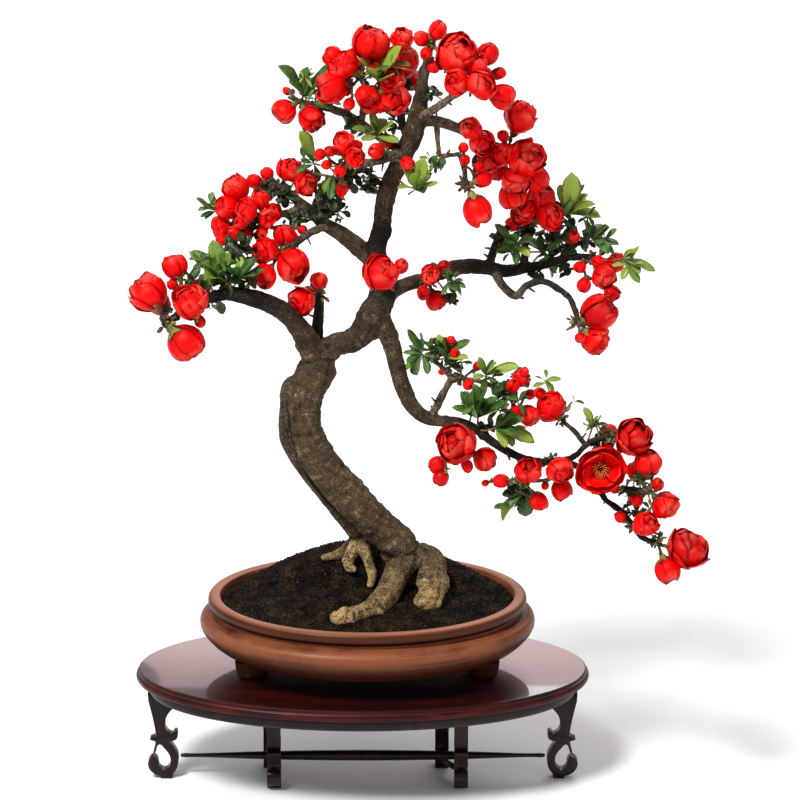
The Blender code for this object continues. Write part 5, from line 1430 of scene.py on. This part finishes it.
@dataclass
class Flower:
    """One flower, drawn petal by petal round its own axis."""

    kind: Kind
    base: Vector
    axis: Vector
    width: float
    rng: random.Random
    grid: int = 8

    def __post_init__(self) -> None:
        """Works out the flower's own frame."""
        way = Vector((0, 0, 1)).rotation_difference(self.axis)
        roll = Quaternion((0, 0, 1), self.rng.uniform(0, 2 * math.pi))
        self.turn = np.array((way @ roll).to_matrix())
        self.tone = self.rng.uniform(-1, 1)
        spans = ((0.88, 1.06), (0.90, 1.06), (0.9, 1.1))
        self.stretch = np.array([self.rng.uniform(*span) for span in spans])

    def stand(self, points: np.ndarray) -> np.ndarray:
        """Points of the flower's frame put in the model."""
        return (points * self.stretch) @ self.turn.T + np.array(self.base)

    def petal(self, shape: Shape, turn: float, reach: float, half: float, radius: float, tuck: float = 0.05,
              curl: float = 0.0, frill: float = 0.03, squat: float = 1.0) -> None:
        """Adds one cupped petal, which lies on a ball round the flower's middle.

        Args:
            shape: Where it goes.
            turn: Its place round the axis, in degrees.
            reach: How far over the ball it reaches from the base, in degrees.
            half: Half its width, as an angle at the ball's middle, in degrees.
            radius: Its distance from the flower's middle, as a share of the flower's radius.
            tuck: How much farther out one edge is than the other.
            curl: How far the rim bends out.
            frill: How wavy the rim is.
            squat: Height of the ball as a share of its width.
        """
        draw = self.rng.uniform
        steps = np.linspace(-1, 1, self.grid)
        b, a = np.meshgrid(steps, steps, indexing="ij")
        x, y = a * np.sqrt(1 - b * b / 2), b * np.sqrt(1 - a * a / 2)
        along = (y + 1) / 2
        polar = math.radians(reach) * along ** 0.92
        spread = math.radians(half) * x * (0.62 + 0.38 * np.clip(along * 1.8, 0, 1))
        around = math.radians(turn) + spread / np.maximum(np.sin(np.minimum(polar, np.pi)), 0.42)
        rim = np.clip(x * x + y * y, 0, 1) * np.clip(along * 2.2 - 0.5, 0, 1)
        bearing = np.arctan2(y, x)
        waves = np.sin(3 * bearing + draw(0, 6.3)) + 0.7 * np.sin(7 * bearing + draw(0, 6.3))
        fold = 0.02 * np.exp(-(x / 0.16) ** 2) + 0.012 * np.sin(9 * x + 3 * y + draw(0, 6.3)) * along
        out = radius * (1 + tuck * x + curl * rim ** 2 + frill * rim * waves - fold)
        sway = 0.05 * np.sin(2 * around + self.tone * 5)
        out = out * (1 + sway + 0.03 * np.sin(3 * around - self.tone * 9))
        ball = np.stack([out * np.sin(polar) * np.cos(around), out * np.sin(polar) * np.sin(around),
                         squat * (1 - out * np.cos(polar))], 2) * (self.width / 2)
        marks = np.stack([x, y, np.full_like(x, self.tone + draw(-0.4, 0.4))], 2)
        shape.sheet(self.stand(ball), PETAL_THICK, marks)

    def calyx(self, shape: Shape) -> None:
        """Adds the calyx under the flower: a small cup with five lobes.

        Args:
            shape: Where it goes.
        """
        size = self.width / 2 * (1.0 if self.kind is not Kind.OPEN else 0.8)
        rows = ((-0.34, 0.12, 0.12), (-0.20, 0.25, 0.25), (-0.02, 0.31, 0.31), (0.08, 0.47, 0.42),
                (0.26, 0.74, 0.50), (0.16, 0.52, 0.40), (0.05, 0.2, 0.2))
        lobed = np.arange(10) % 2 == 0
        turns = turns_round(10)
        rings = []
        for up, lobe, notch in rows:
            out = np.where(lobed, lobe, notch) * size
            lift = np.where(lobed, up, min(up, 0.1)) * size
            rings.append(self.stand(np.stack([out * np.cos(turns), out * np.sin(turns), lift], 1)))
        marks = np.zeros((len(rings), 10, 3))
        marks[:, :, 2] = self.rng.uniform(0, 1)
        shape.loft(np.array(rings), 1, marks)

    def heart(self, shape: Shape, share: float) -> None:
        """Adds the closed inner petals that fill the flower."""
        centre = self.base + self.axis * self.width * 0.5
        long, wide = self.width * share * 1.1, self.width * share
        # the heart's tone is lower, so it is painted a deeper red, as shade inside the flower
        shape.egg(centre, self.axis, long, wide, tone=self.tone - 0.4, sides=10, levels=7)

    def stamens(self, strewn: tuple[Strewn, Strewn], count: int = 26) -> None:
        """Adds stamens: thin threads that spread from the middle, each with a small anther.

        Args:
            strewn: Where the threads and the anthers go.
            count: How many there are.
        """
        threads, tips = strewn
        for index in range(count):
            spread = 0.10 + 0.42 * math.sqrt((index + 0.5) / count)
            turn = index * GOLDEN_TURN
            way = Vector((spread * math.cos(turn), spread * math.sin(turn), 1.0)).normalized()
            way = Vector(np.array(way) @ self.turn.T)
            long = self.width * self.rng.uniform(0.24, 0.33)
            top = self.base + way * long
            threads.add(top, way, long, 0.55)
            tips.add(top, way, 1.5, 1.15)

    def build(self, shape: Shape, strewn: tuple[Strewn, Strewn]) -> None:
        """Adds the whole flower.

        Args:
            shape: Where its petals and calyx go.
            strewn: Where its stamens and anthers go.
        """
        draw = self.rng.uniform
        self.calyx(shape)
        if self.kind is Kind.BUD:
            self.grid = 7
            for k in range(3):
                self.petal(shape, 120 * k + draw(-8, 8), 172, 66, 1.0 - 0.02 * k, frill=0.012, squat=1.06)
            self.heart(shape, 0.86)
            return
        if self.kind is Kind.OPEN:
            for k in range(5):
                self.petal(shape, 72 * k + draw(-5, 5), 104 + draw(-10, 12), 54, 1.04, 0.05, draw(0.0, 0.10),
                           0.03, 0.70)
            for k in range(5):
                self.petal(shape, 72 * k + 36 + draw(-8, 8), 98 + draw(-10, 14), 46, 0.80, 0.05,
                           draw(-0.02, 0.10), 0.04, 0.80)
            self.stamens(strewn)
            return
        loose = self.kind is Kind.RUFFLED or self.rng.random() < 0.45
        mouth = draw(-36, -18) if loose else draw(-6, 12)
        frill = 0.045 if loose else 0.022
        rows = ((5, 142 + mouth, 52, 1.0), (5, 154 + mouth * 0.7, 46, 0.87))
        if loose:
            rows = ((5, 142 + mouth, 54, 1.0), (5, 158 + mouth * 0.6, 48, 0.89), (4, 166, 52, 0.77))
        for index, (count, reach, half, radius) in enumerate(rows):
            for k in range(count):
                self.petal(shape, 360 * k / count + 36 * index + draw(-10, 10), reach + draw(-14, 10),
                           half + draw(-5, 6), radius * draw(0.97, 1.04), draw(0.03, 0.07),
                           draw(-0.02, 0.14 if loose and index == 0 else 0.06), frill, 1.02)
        self.heart(shape, 0.62 if loose else 0.76)


@dataclass(frozen=True)
class Scales:
    """Bud scales heaped about a place: their number, their ranges of sizes, and their slots."""

    count: int
    away: Pair
    long: Pair
    wide: Pair
    coats: tuple[int, ...]

    def heap(self, shape: Shape, place: Vector, rng: random.Random) -> None:
        """Adds the scales about a place.

        Args:
            shape: Where they go.
            place: The middle of the heap.
            rng: Source of their places and sizes.
        """
        for _ in range(self.count):
            way = any_way(rng).normalized()
            shape.egg(place + way * rng.uniform(*self.away), way, rng.uniform(*self.long),
                      rng.uniform(*self.wide), rng.choice(self.coats), rng.random(), sides=6, levels=5)


@dataclass
class Bunches:
    """All the flowers, one piece for each bunch, on short stalks from their twig."""

    wood: Wood
    grip: Scales = Scales(18, (1.5, 11.0), (4.0, 9.0), (2.4, 4.4), (1, 2, 2, 2))
    foot: Scales = Scales(3, (0.5, 3.0), (3.0, 5.5), (1.8, 2.8), (1, 1, 2))
    threads: Strewn = field(default_factory=lambda: Strewn("stamens", Grain.CONE, POLLEN))
    tips: Strewn = field(default_factory=lambda: Strewn("anthers", Grain.BALL, POLLEN))

    def stalk(self, shape: Shape, start: Vector, end: Vector, rng: random.Random) -> None:
        """Adds one bent stalk between two places.

        Args:
            shape: Where it goes.
            start: Its foot.
            end: Its upper end.
            rng: Source of its bend.
        """
        bend = (start + end) / 2 + any_way(rng) * 0.10 * (end - start).length
        knots = [(*start, STALK * 1.9), (*bend, STALK * 1.2), (*end, STALK * 1.5)]
        shape.tube(curve(knots, 4), 7, 2, 0.3, seed=rng.uniform(0, 99))

    def bunch(self, name: str, grips: Sequence[tuple], flowers: dict[str, list[tuple]]) -> None:
        """Builds one bunch, from the flower nearest to its twig outwards.

        Args:
            name: Its name in the table.
            grips: Places on the drawing where it holds its twig.
            flowers: Each kind's rows of (across, down, back, width), some with a way to face.
        """
        rng = random.Random("bunch_" + name)
        shape = Shape()
        feet = []
        for grip in grips:
            place = in_crown(*grip)
            feet.append(self.wood.nearest(place)[0].place)
            self.grip.heap(shape, place, rng)
        rows = []
        for kind, places in flowers.items():
            for across, down, back, width, *facing in places:
                centre = in_crown(across, down, back)
                foot = min(feet, key=lambda place: (place - centre).length)
                axis = Vector(facing[0] if facing else centre - foot).normalized()
                base = centre - axis * width * CENTRES[Kind(kind)]
                rows.append(((centre - foot).length, Kind(kind), base, axis, width))
        for _, kind, base, axis, width in sorted(rows, key=lambda row: row[0]):
            Flower(kind, base, axis, width * FLOWER_FIT, rng).build(shape, (self.threads, self.tips))
            self.foot.heap(shape, base - axis * width * 0.16, rng)
            end = base - axis * width * 0.12
            start = min(feet, key=lambda place: (place - end).length)
            if (start - end).length > 1.5:
                self.stalk(shape, start, end, rng)
            feet.append(end)
        set_on(shape.piece("blooms_" + name, [PETAL, HUSK, SPUR]), PETAL, "bunch_" + name)

    def build(self) -> None:
        """Builds every bunch, then the stamens of the open flowers."""
        for name, (grips, flowers) in BUNCHES.items():
            self.bunch(name, grips, flowers)
        for strewn in (self.threads, self.tips):
            set_on(strewn.build(), POLLEN)


@dataclass
class Sprays:
    """All the leaves, one piece for each spray, on green shoots."""

    wood: Wood
    rows: int = 13
    columns: int = 5

    def leaf(self, shape: Shape, root: Vector, tip: Vector, tone: float, rng: random.Random) -> None:
        """Adds one leaf: widest past its middle, finely toothed, folded and drooping a little.

        Args:
            shape: Where it goes.
            root: Where it grows from.
            tip: Its tip.
            tone: How yellow it is, from 0 to 1; one in deep shade is below 0, and is broader too.
            rng: Source of its random bends.
        """
        length = (tip - root).length
        along = (tip - root).normalized()
        side = along.cross(Vector((rng.uniform(-0.35, 0.35), -0.45, 1.0)))
        if side.length < 0.2:
            side = along.cross(Vector((1, 0, 0)))
        side.normalize()
        face = side.cross(along).normalized()
        half = length * LEAF_WIDTH / 2 * rng.uniform(0.85, 1.1) * (1.5 if tone < IN_SHADE else 1.0)
        t, x = np.meshgrid(np.linspace(0, 1, self.rows), np.linspace(-1, 1, self.columns), indexing="ij")
        width = np.maximum(np.sin(np.pi * t ** 1.5) ** 0.58, 0.04)
        width = np.where(t < 0.16, np.minimum(width, 0.10 + t * 1.6), width)
        teeth = 1 + 0.03 * np.where(np.arange(self.rows) % 2 == 0, 1, -1)[:, None] * (np.abs(x) > 0.9)
        fold, droop = rng.uniform(0.18, 0.55), rng.uniform(0.02, 0.20)
        wave = 0.10 * np.sin(t * 9 + rng.uniform(0, 6)) * x * x
        lift = half * (np.abs(x) * fold + wave) * width - length * droop * (t * t - t * 0.6)
        bend = length * rng.uniform(-0.06, 0.06) * np.sin(np.pi * t)
        out = x * half * width * teeth + bend
        points = (np.array(root) + (t * length)[..., None] * np.array(along) + out[..., None] * np.array(side)
                  + lift[..., None] * np.array(face))
        shape.sheet(points, LEAF_THICK, np.stack([x, t, np.full_like(x, tone)], 2))

    def spray(self, name: str, place: tuple, rosettes: Sequence[tuple], tufts: Sequence[tuple]) -> None:
        """Builds one spray.

        Args:
            name: Its name in the table.
            place: Where it grows from, on the drawing.
            rosettes: Rows of (across, down, back, leaf tips).
            tufts: Rows of (across, down, back, leaves, reach, tone).
        """
        rng = random.Random("spray_" + name)
        shape = Shape()
        start = self.wood.nearest(in_crown(*place))[0].place
        for across, down, back, tips in rosettes:
            hub = in_crown(across, down, back)
            bend = (start + hub) / 2 + Vector((0, 0, -0.08 * (hub - start).length))
            shape.tube(curve([(*start, SHOOT * 1.4), (*bend, SHOOT), (*hub, SHOOT)], 4), 7, 1, 0.15,
                       rng.random(), rng.uniform(0, 99))
            ends = [in_crown(*tip) for tip in tips]
            middle = sum(ends, Vector()) / len(ends) - hub
            reach = max((end - hub).length for end in ends)
            for _ in range((len(tips) + 1) // 2):
                way = (middle.normalized() * 0.55 + any_way(rng)).normalized()
                ends.append(hub + way * reach * rng.uniform(0.35, 0.72))
            fresh = rng.random() < 0.4
            for index, end in enumerate(ends):
                root = hub + (end - hub).normalized() * 0.6
                tone = rng.uniform(0.5, 1.0) if fresh or rng.random() < 0.15 else rng.uniform(0.0, 0.35)
                # the extra leaves inside a rosette mostly take a low tone: painted shade inside the crown
                tone = rng.uniform(-0.9, 0.2) if index >= len(tips) else tone
                self.leaf(shape, root, end, tone, rng)
        for across, down, back, count, reach, tone in tufts:
            hub = in_crown(across, down, back)
            foot = self.wood.nearest(hub)[0].place
            knots = [(*foot, SHOOT * 1.2), (*(foot + hub) / 2, SHOOT), (*hub, SHOOT)]
            shape.tube(curve(knots, 3), 6, 1, 0.2, rng.random(), rng.uniform(0, 99))
            # a tuft below IN_SHADE stands for the crown's shade: dark leaves, more of them, reaching farther
            # and looser
            shaded = tone < IN_SHADE
            count, reach, loose = (count * 2, reach * 1.3, 6) if shaded else (count, reach, 2)
            for k in range(count):
                turn = 6.2832 * (k + rng.uniform(-0.3, 0.3)) / count
                way = Vector((math.cos(turn), rng.uniform(-0.9, 0.9), math.sin(turn) * 0.9 + 0.15))
                way.normalize()
                root = hub + way * 0.6 + any_way(rng, loose)
                tip = hub + way * reach * rng.uniform(0.7, 1.1)
                self.leaf(shape, root, tip, tone + rng.uniform(-0.12, 0.12), rng)
        set_on(shape.piece("leaves_" + name, [GREEN, HUSK]), GREEN, "spray_" + name)

    def build(self) -> None:
        """Builds every spray."""
        for name, (place, rosettes, tufts) in SPRAYS.items():
            self.spray(name, place, rosettes, tufts)


def oval_rings(half: Pair, middle: Pair, profile: Sequence[Pair],
               bottom: float, sides: int) -> np.ndarray:
    """Rings of an oval turning.

    Args:
        half: Half its width and half its depth.
        middle: Its middle, across and back.
        profile: Rows of (inset, height).
        bottom: Height of the profile's foot.
        sides: Points round it.

    Returns:
        The rings, as (rings, points, 3).
    """
    turns = turns_round(sides)
    return np.array([np.stack([middle[0] + (half[0] - inset) * np.cos(turns),
                               middle[1] + (half[1] - inset) * np.sin(turns),
                               np.full(sides, bottom + height)], 1) for inset, height in profile])


@dataclass
class Pot:
    """The oval clay tray: a rolled rim, a grooved neck, a full belly and four feet."""

    middle: Pair = (-46.0, 3.0)
    half: Pair = (170.0, 131.0)
    floor: float = 120.3
    height: float = 76.0
    foot_at: Pair = (117.0, 40.0)
    sides: int = 160
    wall: float = 19.0             # insets below this lie outside
    ridge_at: float = 61.6         # height of the pale band on the ridge under the neck
    belly_highlight_at: float = 55.0         # height of the painted highlight band on the belly
    neck_shade_band: Pair = (61.9, 75.5)    # painted shade: heights where the neck and lip's face are dark
    foot_half: Pair = (15.0, 9.0)
    foot_profile: tuple[Pair, ...] = (
        (4.2, 0.0), (3.0, 0.5), (1.0, 3.0), (0.0, 7.0), (-1.0, 12.0), (-1.6, 18.0))
    outside: tuple[Pair, ...] = (
        (50, 13.5), (41.5, 14.8), (33, 17.5), (24.5, 21.0), (17, 25.5), (10.6, 30.8), (5.5, 36.5),
        (2.2, 41.0), (0.6, 45), (0.2, 49), (1.2, 52.8), (3.4, 55.6), (6.5, 57.8), (10, 59.0), (13.0, 59.6),
        (14.6, 60.2), (14.9, 60.9), (14.2, 61.4), (13.6, 62.1), (14.0, 62.9), (15.6, 63.5), (16.6, 64.3),
        (15.8, 65.1), (12.4, 65.7), (10.2, 66.3), (9.1, 67.6), (8.7, 69.6), (8.8, 71.8), (9.4, 73.8),
        (10.6, 75.2), (12.6, 76.0))
    inside: tuple[Pair, ...] = ((18.5, 76.0), (20.6, 75.2), (21.4, 73.6), (23, 66), (28, 32), (48, 19))

    def wear_and_highlight(self, inset: float, height: float) -> float:
        """How pale the clay is at a place on the profile: worn on the rim, with a painted highlight on the
        belly.

        Args:
            inset: How far in the place is.
            height: Its height above the pot's floor.

        Returns:
            How pale it is, from 0 to 1.
        """
        rim = max(0.0, 1 - abs(height - self.height) / 1.7)
        ridge = 0.35 * max(0.0, 1 - abs(height - self.ridge_at) / 1.2)
        # painted highlight: a pale band high on the belly
        belly = 0.34 * max(0.0, 1 - abs(height - self.belly_highlight_at) / 3.4)
        return max(rim, belly, ridge) if inset < self.wall else 0.8 * rim

    def build(self) -> None:
        """Builds the pot and its feet as one piece."""
        shape = Shape()
        profile = (*self.outside, *self.inside)
        rings = oval_rings(self.half, self.middle, profile, self.floor, self.sides)
        marks = np.zeros_like(rings)
        for level, (inset, height) in enumerate(profile):
            # the first mark paints shade on the neck and the lip's face, under the rolled rim
            grooved = inset < self.wall and self.neck_shade_band[0] < height < self.neck_shade_band[1]
            marks[level] = (0.88 if grooved else 0.0, height / self.height, self.wear_and_highlight(inset, height))
        shape.loft(rings, 0, marks)
        for x, y in ((-1, -1), (-1, 1), (1, -1), (1, 1)):
            place = (self.middle[0] + x * self.foot_at[0], self.middle[1] + y * self.foot_at[1])
            shape.loft(oval_rings(self.foot_half, place, self.foot_profile, self.floor, sides=28))
        set_on(shape.piece("clay_pot", [CLAY], crisp=38), CLAY, "pot")


@dataclass
class Soil:
    """The mounded soil, with loose crumbs lying on it."""

    pot: Pot
    inset: float = 23.3            # how far the soil's edge lies inside the pot's rim
    edge: float = 70.0             # height of that edge above the pot's floor
    mound: float = 13.0            # how much higher the middle is
    behind: float = 34.0           # how much higher still it is behind the trunk
    sides: int = 180
    levels: int = 40
    crumb: float = 1.45
    density: float = 52000.0
    seed: int = 11

    def height(self, share: float, turn: float) -> float:
        """Height above the soil's edge: share 0 is the middle and 1 the pot's wall."""
        lumps = 1.1 * math.sin(3 * turn + 9 * share) + 0.8 * math.sin(5 * turn - 7 * share + 1)
        back = self.behind * max(0.0, math.sin(turn)) * 4 * share * (1 - share)
        return self.mound * (1 - share ** 2.4) + back + lumps * (1 - share)

    def build(self) -> None:
        """Builds the soil and its crumbs."""
        half = [size - self.inset for size in self.pot.half]
        middle, base = self.pot.middle, self.pot.floor
        wall = oval_rings((half[0] - 5, half[1] - 5), middle, ((0, 34), (-4, 62)), base, self.sides)
        top = []
        for share in np.linspace(1, 0.02, self.levels):
            ring = []
            for turn in turns_round(self.sides):
                x = middle[0] + half[0] * share * math.cos(turn)
                y = middle[1] + half[1] * share * math.sin(turn)
                grit = 1.3 * noise.noise((x * 0.11, y * 0.11, 0)) + 0.9 * noise.noise((x * 0.33, y * 0.33, 5))
                grit *= min(1.0, (1 - share) * 12)
                ring.append((x, y, base + self.edge + self.height(share, turn) + grit))
            top.append(ring)
        shape = Shape()
        shape.loft(np.concatenate([wall, np.array(top)]))
        bed = shape.piece("soil_crumbs_bed", [EARTH])
        set_on(shown("soil_mound", bed.data.copy()), EARTH, "soil")
        set_on(self.crumbs(bed), EARTH)

    def crumbs(self, bed: Object) -> Object:
        """Crumbs of many sizes strewn over the top of the soil.

        Args:
            bed: The soil, which is used up.

        Returns:
            The crumbs, as a plain mesh.
        """
        sizes = {"Density": ("Float", 1.0), "Crumb": ("Float", 1.0), "Seed": ("Int", 0)}
        garden = Garden("soil_crumbs", sizes)
        crumb, density, seed = (garden.given(label) for label in ("Crumb", "Density", "Seed"))
        up = garden.out("ShaderNodeSeparateXYZ", {0: garden.out("GeometryNodeInputNormal")}, 2)
        flat = garden.out("FunctionNodeCompare", {0: up, 1: 0.35}, operation="GREATER_THAN")
        sockets = {0: garden.given("Geometry"), "Selection": flat, "Density": density, "Seed": seed}
        spots = garden.out("GeometryNodeDistributePointsOnFaces", sockets)
        spans = ({0: (0, 0, 0), 1: (6.28, 6.28, 6.28), "Seed": seed},
                 {0: (0.35, 0.35, 0.3), 1: (1.5, 1.2, 0.9), "Seed": 5})
        turn, size = (garden.out("FunctionNodeRandomValue", span, data_type="FLOAT_VECTOR") for span in spans)
        size = garden.out("ShaderNodeVectorMath", {0: size, "Scale": crumb}, operation="SCALE")
        ball = garden.out("GeometryNodeMeshIcoSphere", {"Radius": 1.0, "Subdivisions": 1})
        sockets = {0: spots, "Instance": ball, "Rotation": turn, "Scale": size}
        laid = garden.out("GeometryNodeInstanceOnPoints", sockets)
        garden.end(laid, EARTH)
        values = {"Density": self.density, "Crumb": self.crumb * MM, "Seed": self.seed}
        return garden.grow(bed, "soil_crumbs", values)


@dataclass
class Stand:
    """The lacquered stand: a moulded oval board on a lower board, six scroll legs and turned rails."""

    middle: Pair = (-51.0, -5.0)
    half: Pair = (230.0, 127.0)
    top: float = 120.0
    thick: float = 13.0
    under_thick: float = 14.0
    gap: float = 0.3
    leg_thick: float = 14.0
    end_reach: float = 219.5
    side_legs: tuple[tuple[str, float, float], ...] = (("left", -90.0, -95.0), ("right", 100.0, 81.0))
    side_reach: float = 46.0
    waist: float = 31.2
    foot_waist: float = 30.1
    rail_height: float = 23.0
    rail_radius: float = 5.6
    cross_radius: float = 3.4
    edge: tuple[Pair, ...] = (
        (9, 0), (4.5, 0.2), (1.8, 1.2), (0.5, 3.2), (0, 5.5), (0.4, 7.6), (1.3, 8.9), (2.6, 9.4), (2.8, 10.0),
        (2.9, 12.2), (3.5, 12.8), (4.4, 13))
    under_edge: tuple[Pair, ...] = (
        (18, 0), (15.2, 0.6), (13.6, 2.2), (13, 4.4), (13, 10.4), (13.6, 11.4), (13.2, 12.2), (13.2, 13.7))
    spindle: tuple[Pair, ...] = (
        (0, 0.34), (0.012, 0.40), (0.03, 0.36), (0.08, 0.42), (0.26, 0.8), (0.5, 1.0), (0.74, 0.8),
        (0.92, 0.42), (0.97, 0.36), (0.988, 0.40), (1, 0.34))

    def boards(self) -> None:
        """Builds the two boards."""
        upper, lower = Shape(), Shape()
        bottom = self.top - self.thick
        upper.loft(oval_rings(self.half, self.middle, self.edge, bottom, sides=200))
        made = upper.piece("stand_top_board", [LACQUER, MOULDED], crisp=35)
        for face in made.data.polygons:
            face.material_index = int(face.normal.z < 0.9)
        set_on(made, LACQUER, "stand_board")
        lower.loft(oval_rings(self.half, self.middle, self.under_edge, bottom - self.under_thick, sides=200))
        set_on(lower.piece("stand_lower_board", [CARVED], crisp=35), CARVED, "stand_under")

    def leg(self, name: str, place: Pair, turn: float) -> None:
        """Builds one scroll leg, sawn from a plank with softened edges.

        Args:
            name: Its CAD node.
            place: Its outer face, across and back.
            turn: The way it looks, as a turn about Z.
        """
        high = self.top - self.thick - self.under_thick - self.gap
        stretch = high / LEG_OUTLINE[0][1]
        knots = np.array([(-out, up * stretch if up > 60 else up) for out, up in LEG_OUTLINE], float)
        body = curve(knots[1:-1], 4)
        outline = np.concatenate([knots[:1], body, knots[-1:]])
        outline[:, 1] = np.clip(outline[:, 1], 0, high)
        way = unit(np.roll(outline, -1, 0) - np.roll(outline, 1, 0))
        area = np.sum(outline[:, 0] * np.roll(outline[:, 1], -1) - np.roll(outline[:, 0], -1) * outline[:, 1])
        inward = np.stack([-way[:, 1], way[:, 0]], 1) * np.sign(area)
        rot = np.array(Matrix.Rotation(turn, 3, "Z"))
        rings = []
        for side, inset in ((-1, 0.6), (-0.97, 0.18), (-0.91, 0.0), (0.91, 0.0), (0.97, 0.18), (1, 0.6)):
            flat = outline + inward * inset
            flat[:, 1] = np.clip(flat[:, 1], 0, high)
            rows = np.stack([flat[:, 0], np.full(len(flat), side * self.leg_thick / 2), flat[:, 1]], 1)
            rings.append(rows @ rot.T + np.array((*place, 0.0)))
        if area > 0:
            rings = rings[::-1]
        shape = Shape()
        shape.loft(np.array(rings), flat_ends=True)
        set_on(shape.piece(name.replace("leg_", "scroll_leg_"), [CARVED], crisp=40), CARVED, name)

    def legs(self) -> None:
        """Builds the six legs, all facing out."""
        x, y = self.middle
        self.leg("leg_left", (x - self.end_reach, y), math.pi)
        self.leg("leg_right", (x + self.end_reach, y), 0.0)
        for side, front, back in self.side_legs:
            self.leg("leg_front_" + side, (x + front, y - self.side_reach), -math.pi / 2)
            self.leg("leg_back_" + side, (x + back, y + self.side_reach), math.pi / 2)

    def rail(self, name: str, start: Vector, end: Vector, radius: float) -> None:
        """Builds one turned rail: a spindle, thick in its middle and thin at its ends.

        Args:
            name: Its CAD node.
            start: One end.
            end: The other end.
            radius: Its radius in the middle.
        """
        shape = Shape()
        path = np.array([(*start.lerp(end, share), radius * scale) for share, scale in self.spindle])
        shape.tube(curve(path, 3), sides=20)
        set_on(shape.piece("turned_" + name, [CARVED], crisp=50), CARVED, name)

    def rails(self) -> None:
        """Builds the long rail and the two cross rails under it."""
        x, y = self.middle
        reach = self.end_reach - self.waist - self.gap - 3
        high = self.rail_height
        self.rail("rail_long", Vector((x - reach, y, high)), Vector((x + reach, y, high)), self.rail_radius)
        low = high - self.rail_radius - self.cross_radius - 2 * self.gap - 1.2
        deep = self.side_reach - self.foot_waist - 2 * self.gap
        for side, front, back in self.side_legs:
            start, end = Vector((x + front, y - deep, low)), Vector((x + back, y + deep, low))
            self.rail("rail_cross_" + side, start, end, self.cross_radius)

    def build(self) -> None:
        """Builds the whole stand."""
        self.boards()
        self.legs()
        self.rails()


@dataclass
class Studio:
    """The pale floor, the soft lights and the camera."""

    floor_side: float = 60.0
    lens: float = 225.0
    distance: float = 5.0
    lights: tuple[tuple[str, Triple, float, float, float], ...] = (  # name, place, size, power, coolness
        ("key", (-1.5, -1.8, 3.0), 1.1, 55.0, 1.0),
        ("fill", (2.6, -1.8, 1.4), 1.8, 7.0, 1.0),
        ("back", (0.6, 2.3, 2.4), 1.6, 26.0, 1.0),
        ("panel", (0.0, 2.7, 1.02), 1.25, 6.5, 0.66),
    )
    sun: float = 2.1
    sun_width: float = 12.0
    sun_way: Triple = (1.0, 1.5, -2.6)
    surround: float = 0.40

    def floor(self) -> None:
        """Lays the floor."""
        side = self.floor_side / 2
        mesh = bpy.data.meshes.new("floor")
        corners = [(-side, -side, 0), (side, -side, 0), (side, side, 0), (-side, side, 0)]
        mesh.from_pydata(corners, [], [(0, 1, 2, 3)])
        material = bpy.data.materials.new("finish_floor")
        material.use_nodes = True
        Paint(material).set(Base_Color=(0.93, 0.93, 0.93, 1), Roughness=0.9, Specular_IOR_Level=0.1)
        mesh.materials.append(material)
        made = shown("floor", mesh)

    def light(self) -> None:
        """Sets the lights and the pale surroundings."""
        target = VIEW_CENTRE * MM
        for name, place, size, power, cool in self.lights:
            lamp = bpy.data.lights.new(name, "AREA")
            lamp.size, lamp.energy, lamp.color = size, power, (1.0, cool, cool)
            made = shown(name, lamp)
            made.location = place
            made.rotation_euler = (target - Vector(place)).to_track_quat("-Z", "Y").to_euler()
        sun = bpy.data.lights.new("sun", "SUN")
        sun.energy, sun.angle = self.sun, math.radians(self.sun_width)
        shown("sun", sun).rotation_euler = Vector(self.sun_way).to_track_quat("-Z", "Y").to_euler()
        world = bpy.data.worlds.new("studio")
        world.use_nodes = True
        shade = world.node_tree.nodes["Background"]
        shade.inputs["Color"].default_value = (1.0, 1.0, 1.0, 1)
        shade.inputs["Strength"].default_value = self.surround
        bpy.context.scene.world = world
        bpy.context.scene.view_settings.view_transform = "Standard"

    def camera(self) -> None:
        """Sets the camera at the drawing's view."""
        lens = bpy.data.cameras.new("camera")
        lens.lens, lens.sensor_width = self.lens, 36.0
        made = shown("camera", lens)
        back = Vector((0, -math.cos(VIEW_RISE), math.sin(VIEW_RISE)))
        made.location = VIEW_CENTRE * MM + back * self.distance
        made.rotation_euler = back.to_track_quat("Z", "Y").to_euler()
        bpy.context.scene.camera = made

    def build(self) -> None:
        """Sets the whole studio."""
        self.floor()
        self.light()
        self.camera()


def main() -> None:
    """Builds the studio and every piece."""
    logging.basicConfig(level=logging.INFO, format="%(message)s")
    Studio().build()
    wood = Wood()
    pot = Pot()
    for part in (wood, Bunches(wood), Sprays(wood), Soil(pot), pot, Stand()):
        part.build()


if __name__ == "__main__":
    main()
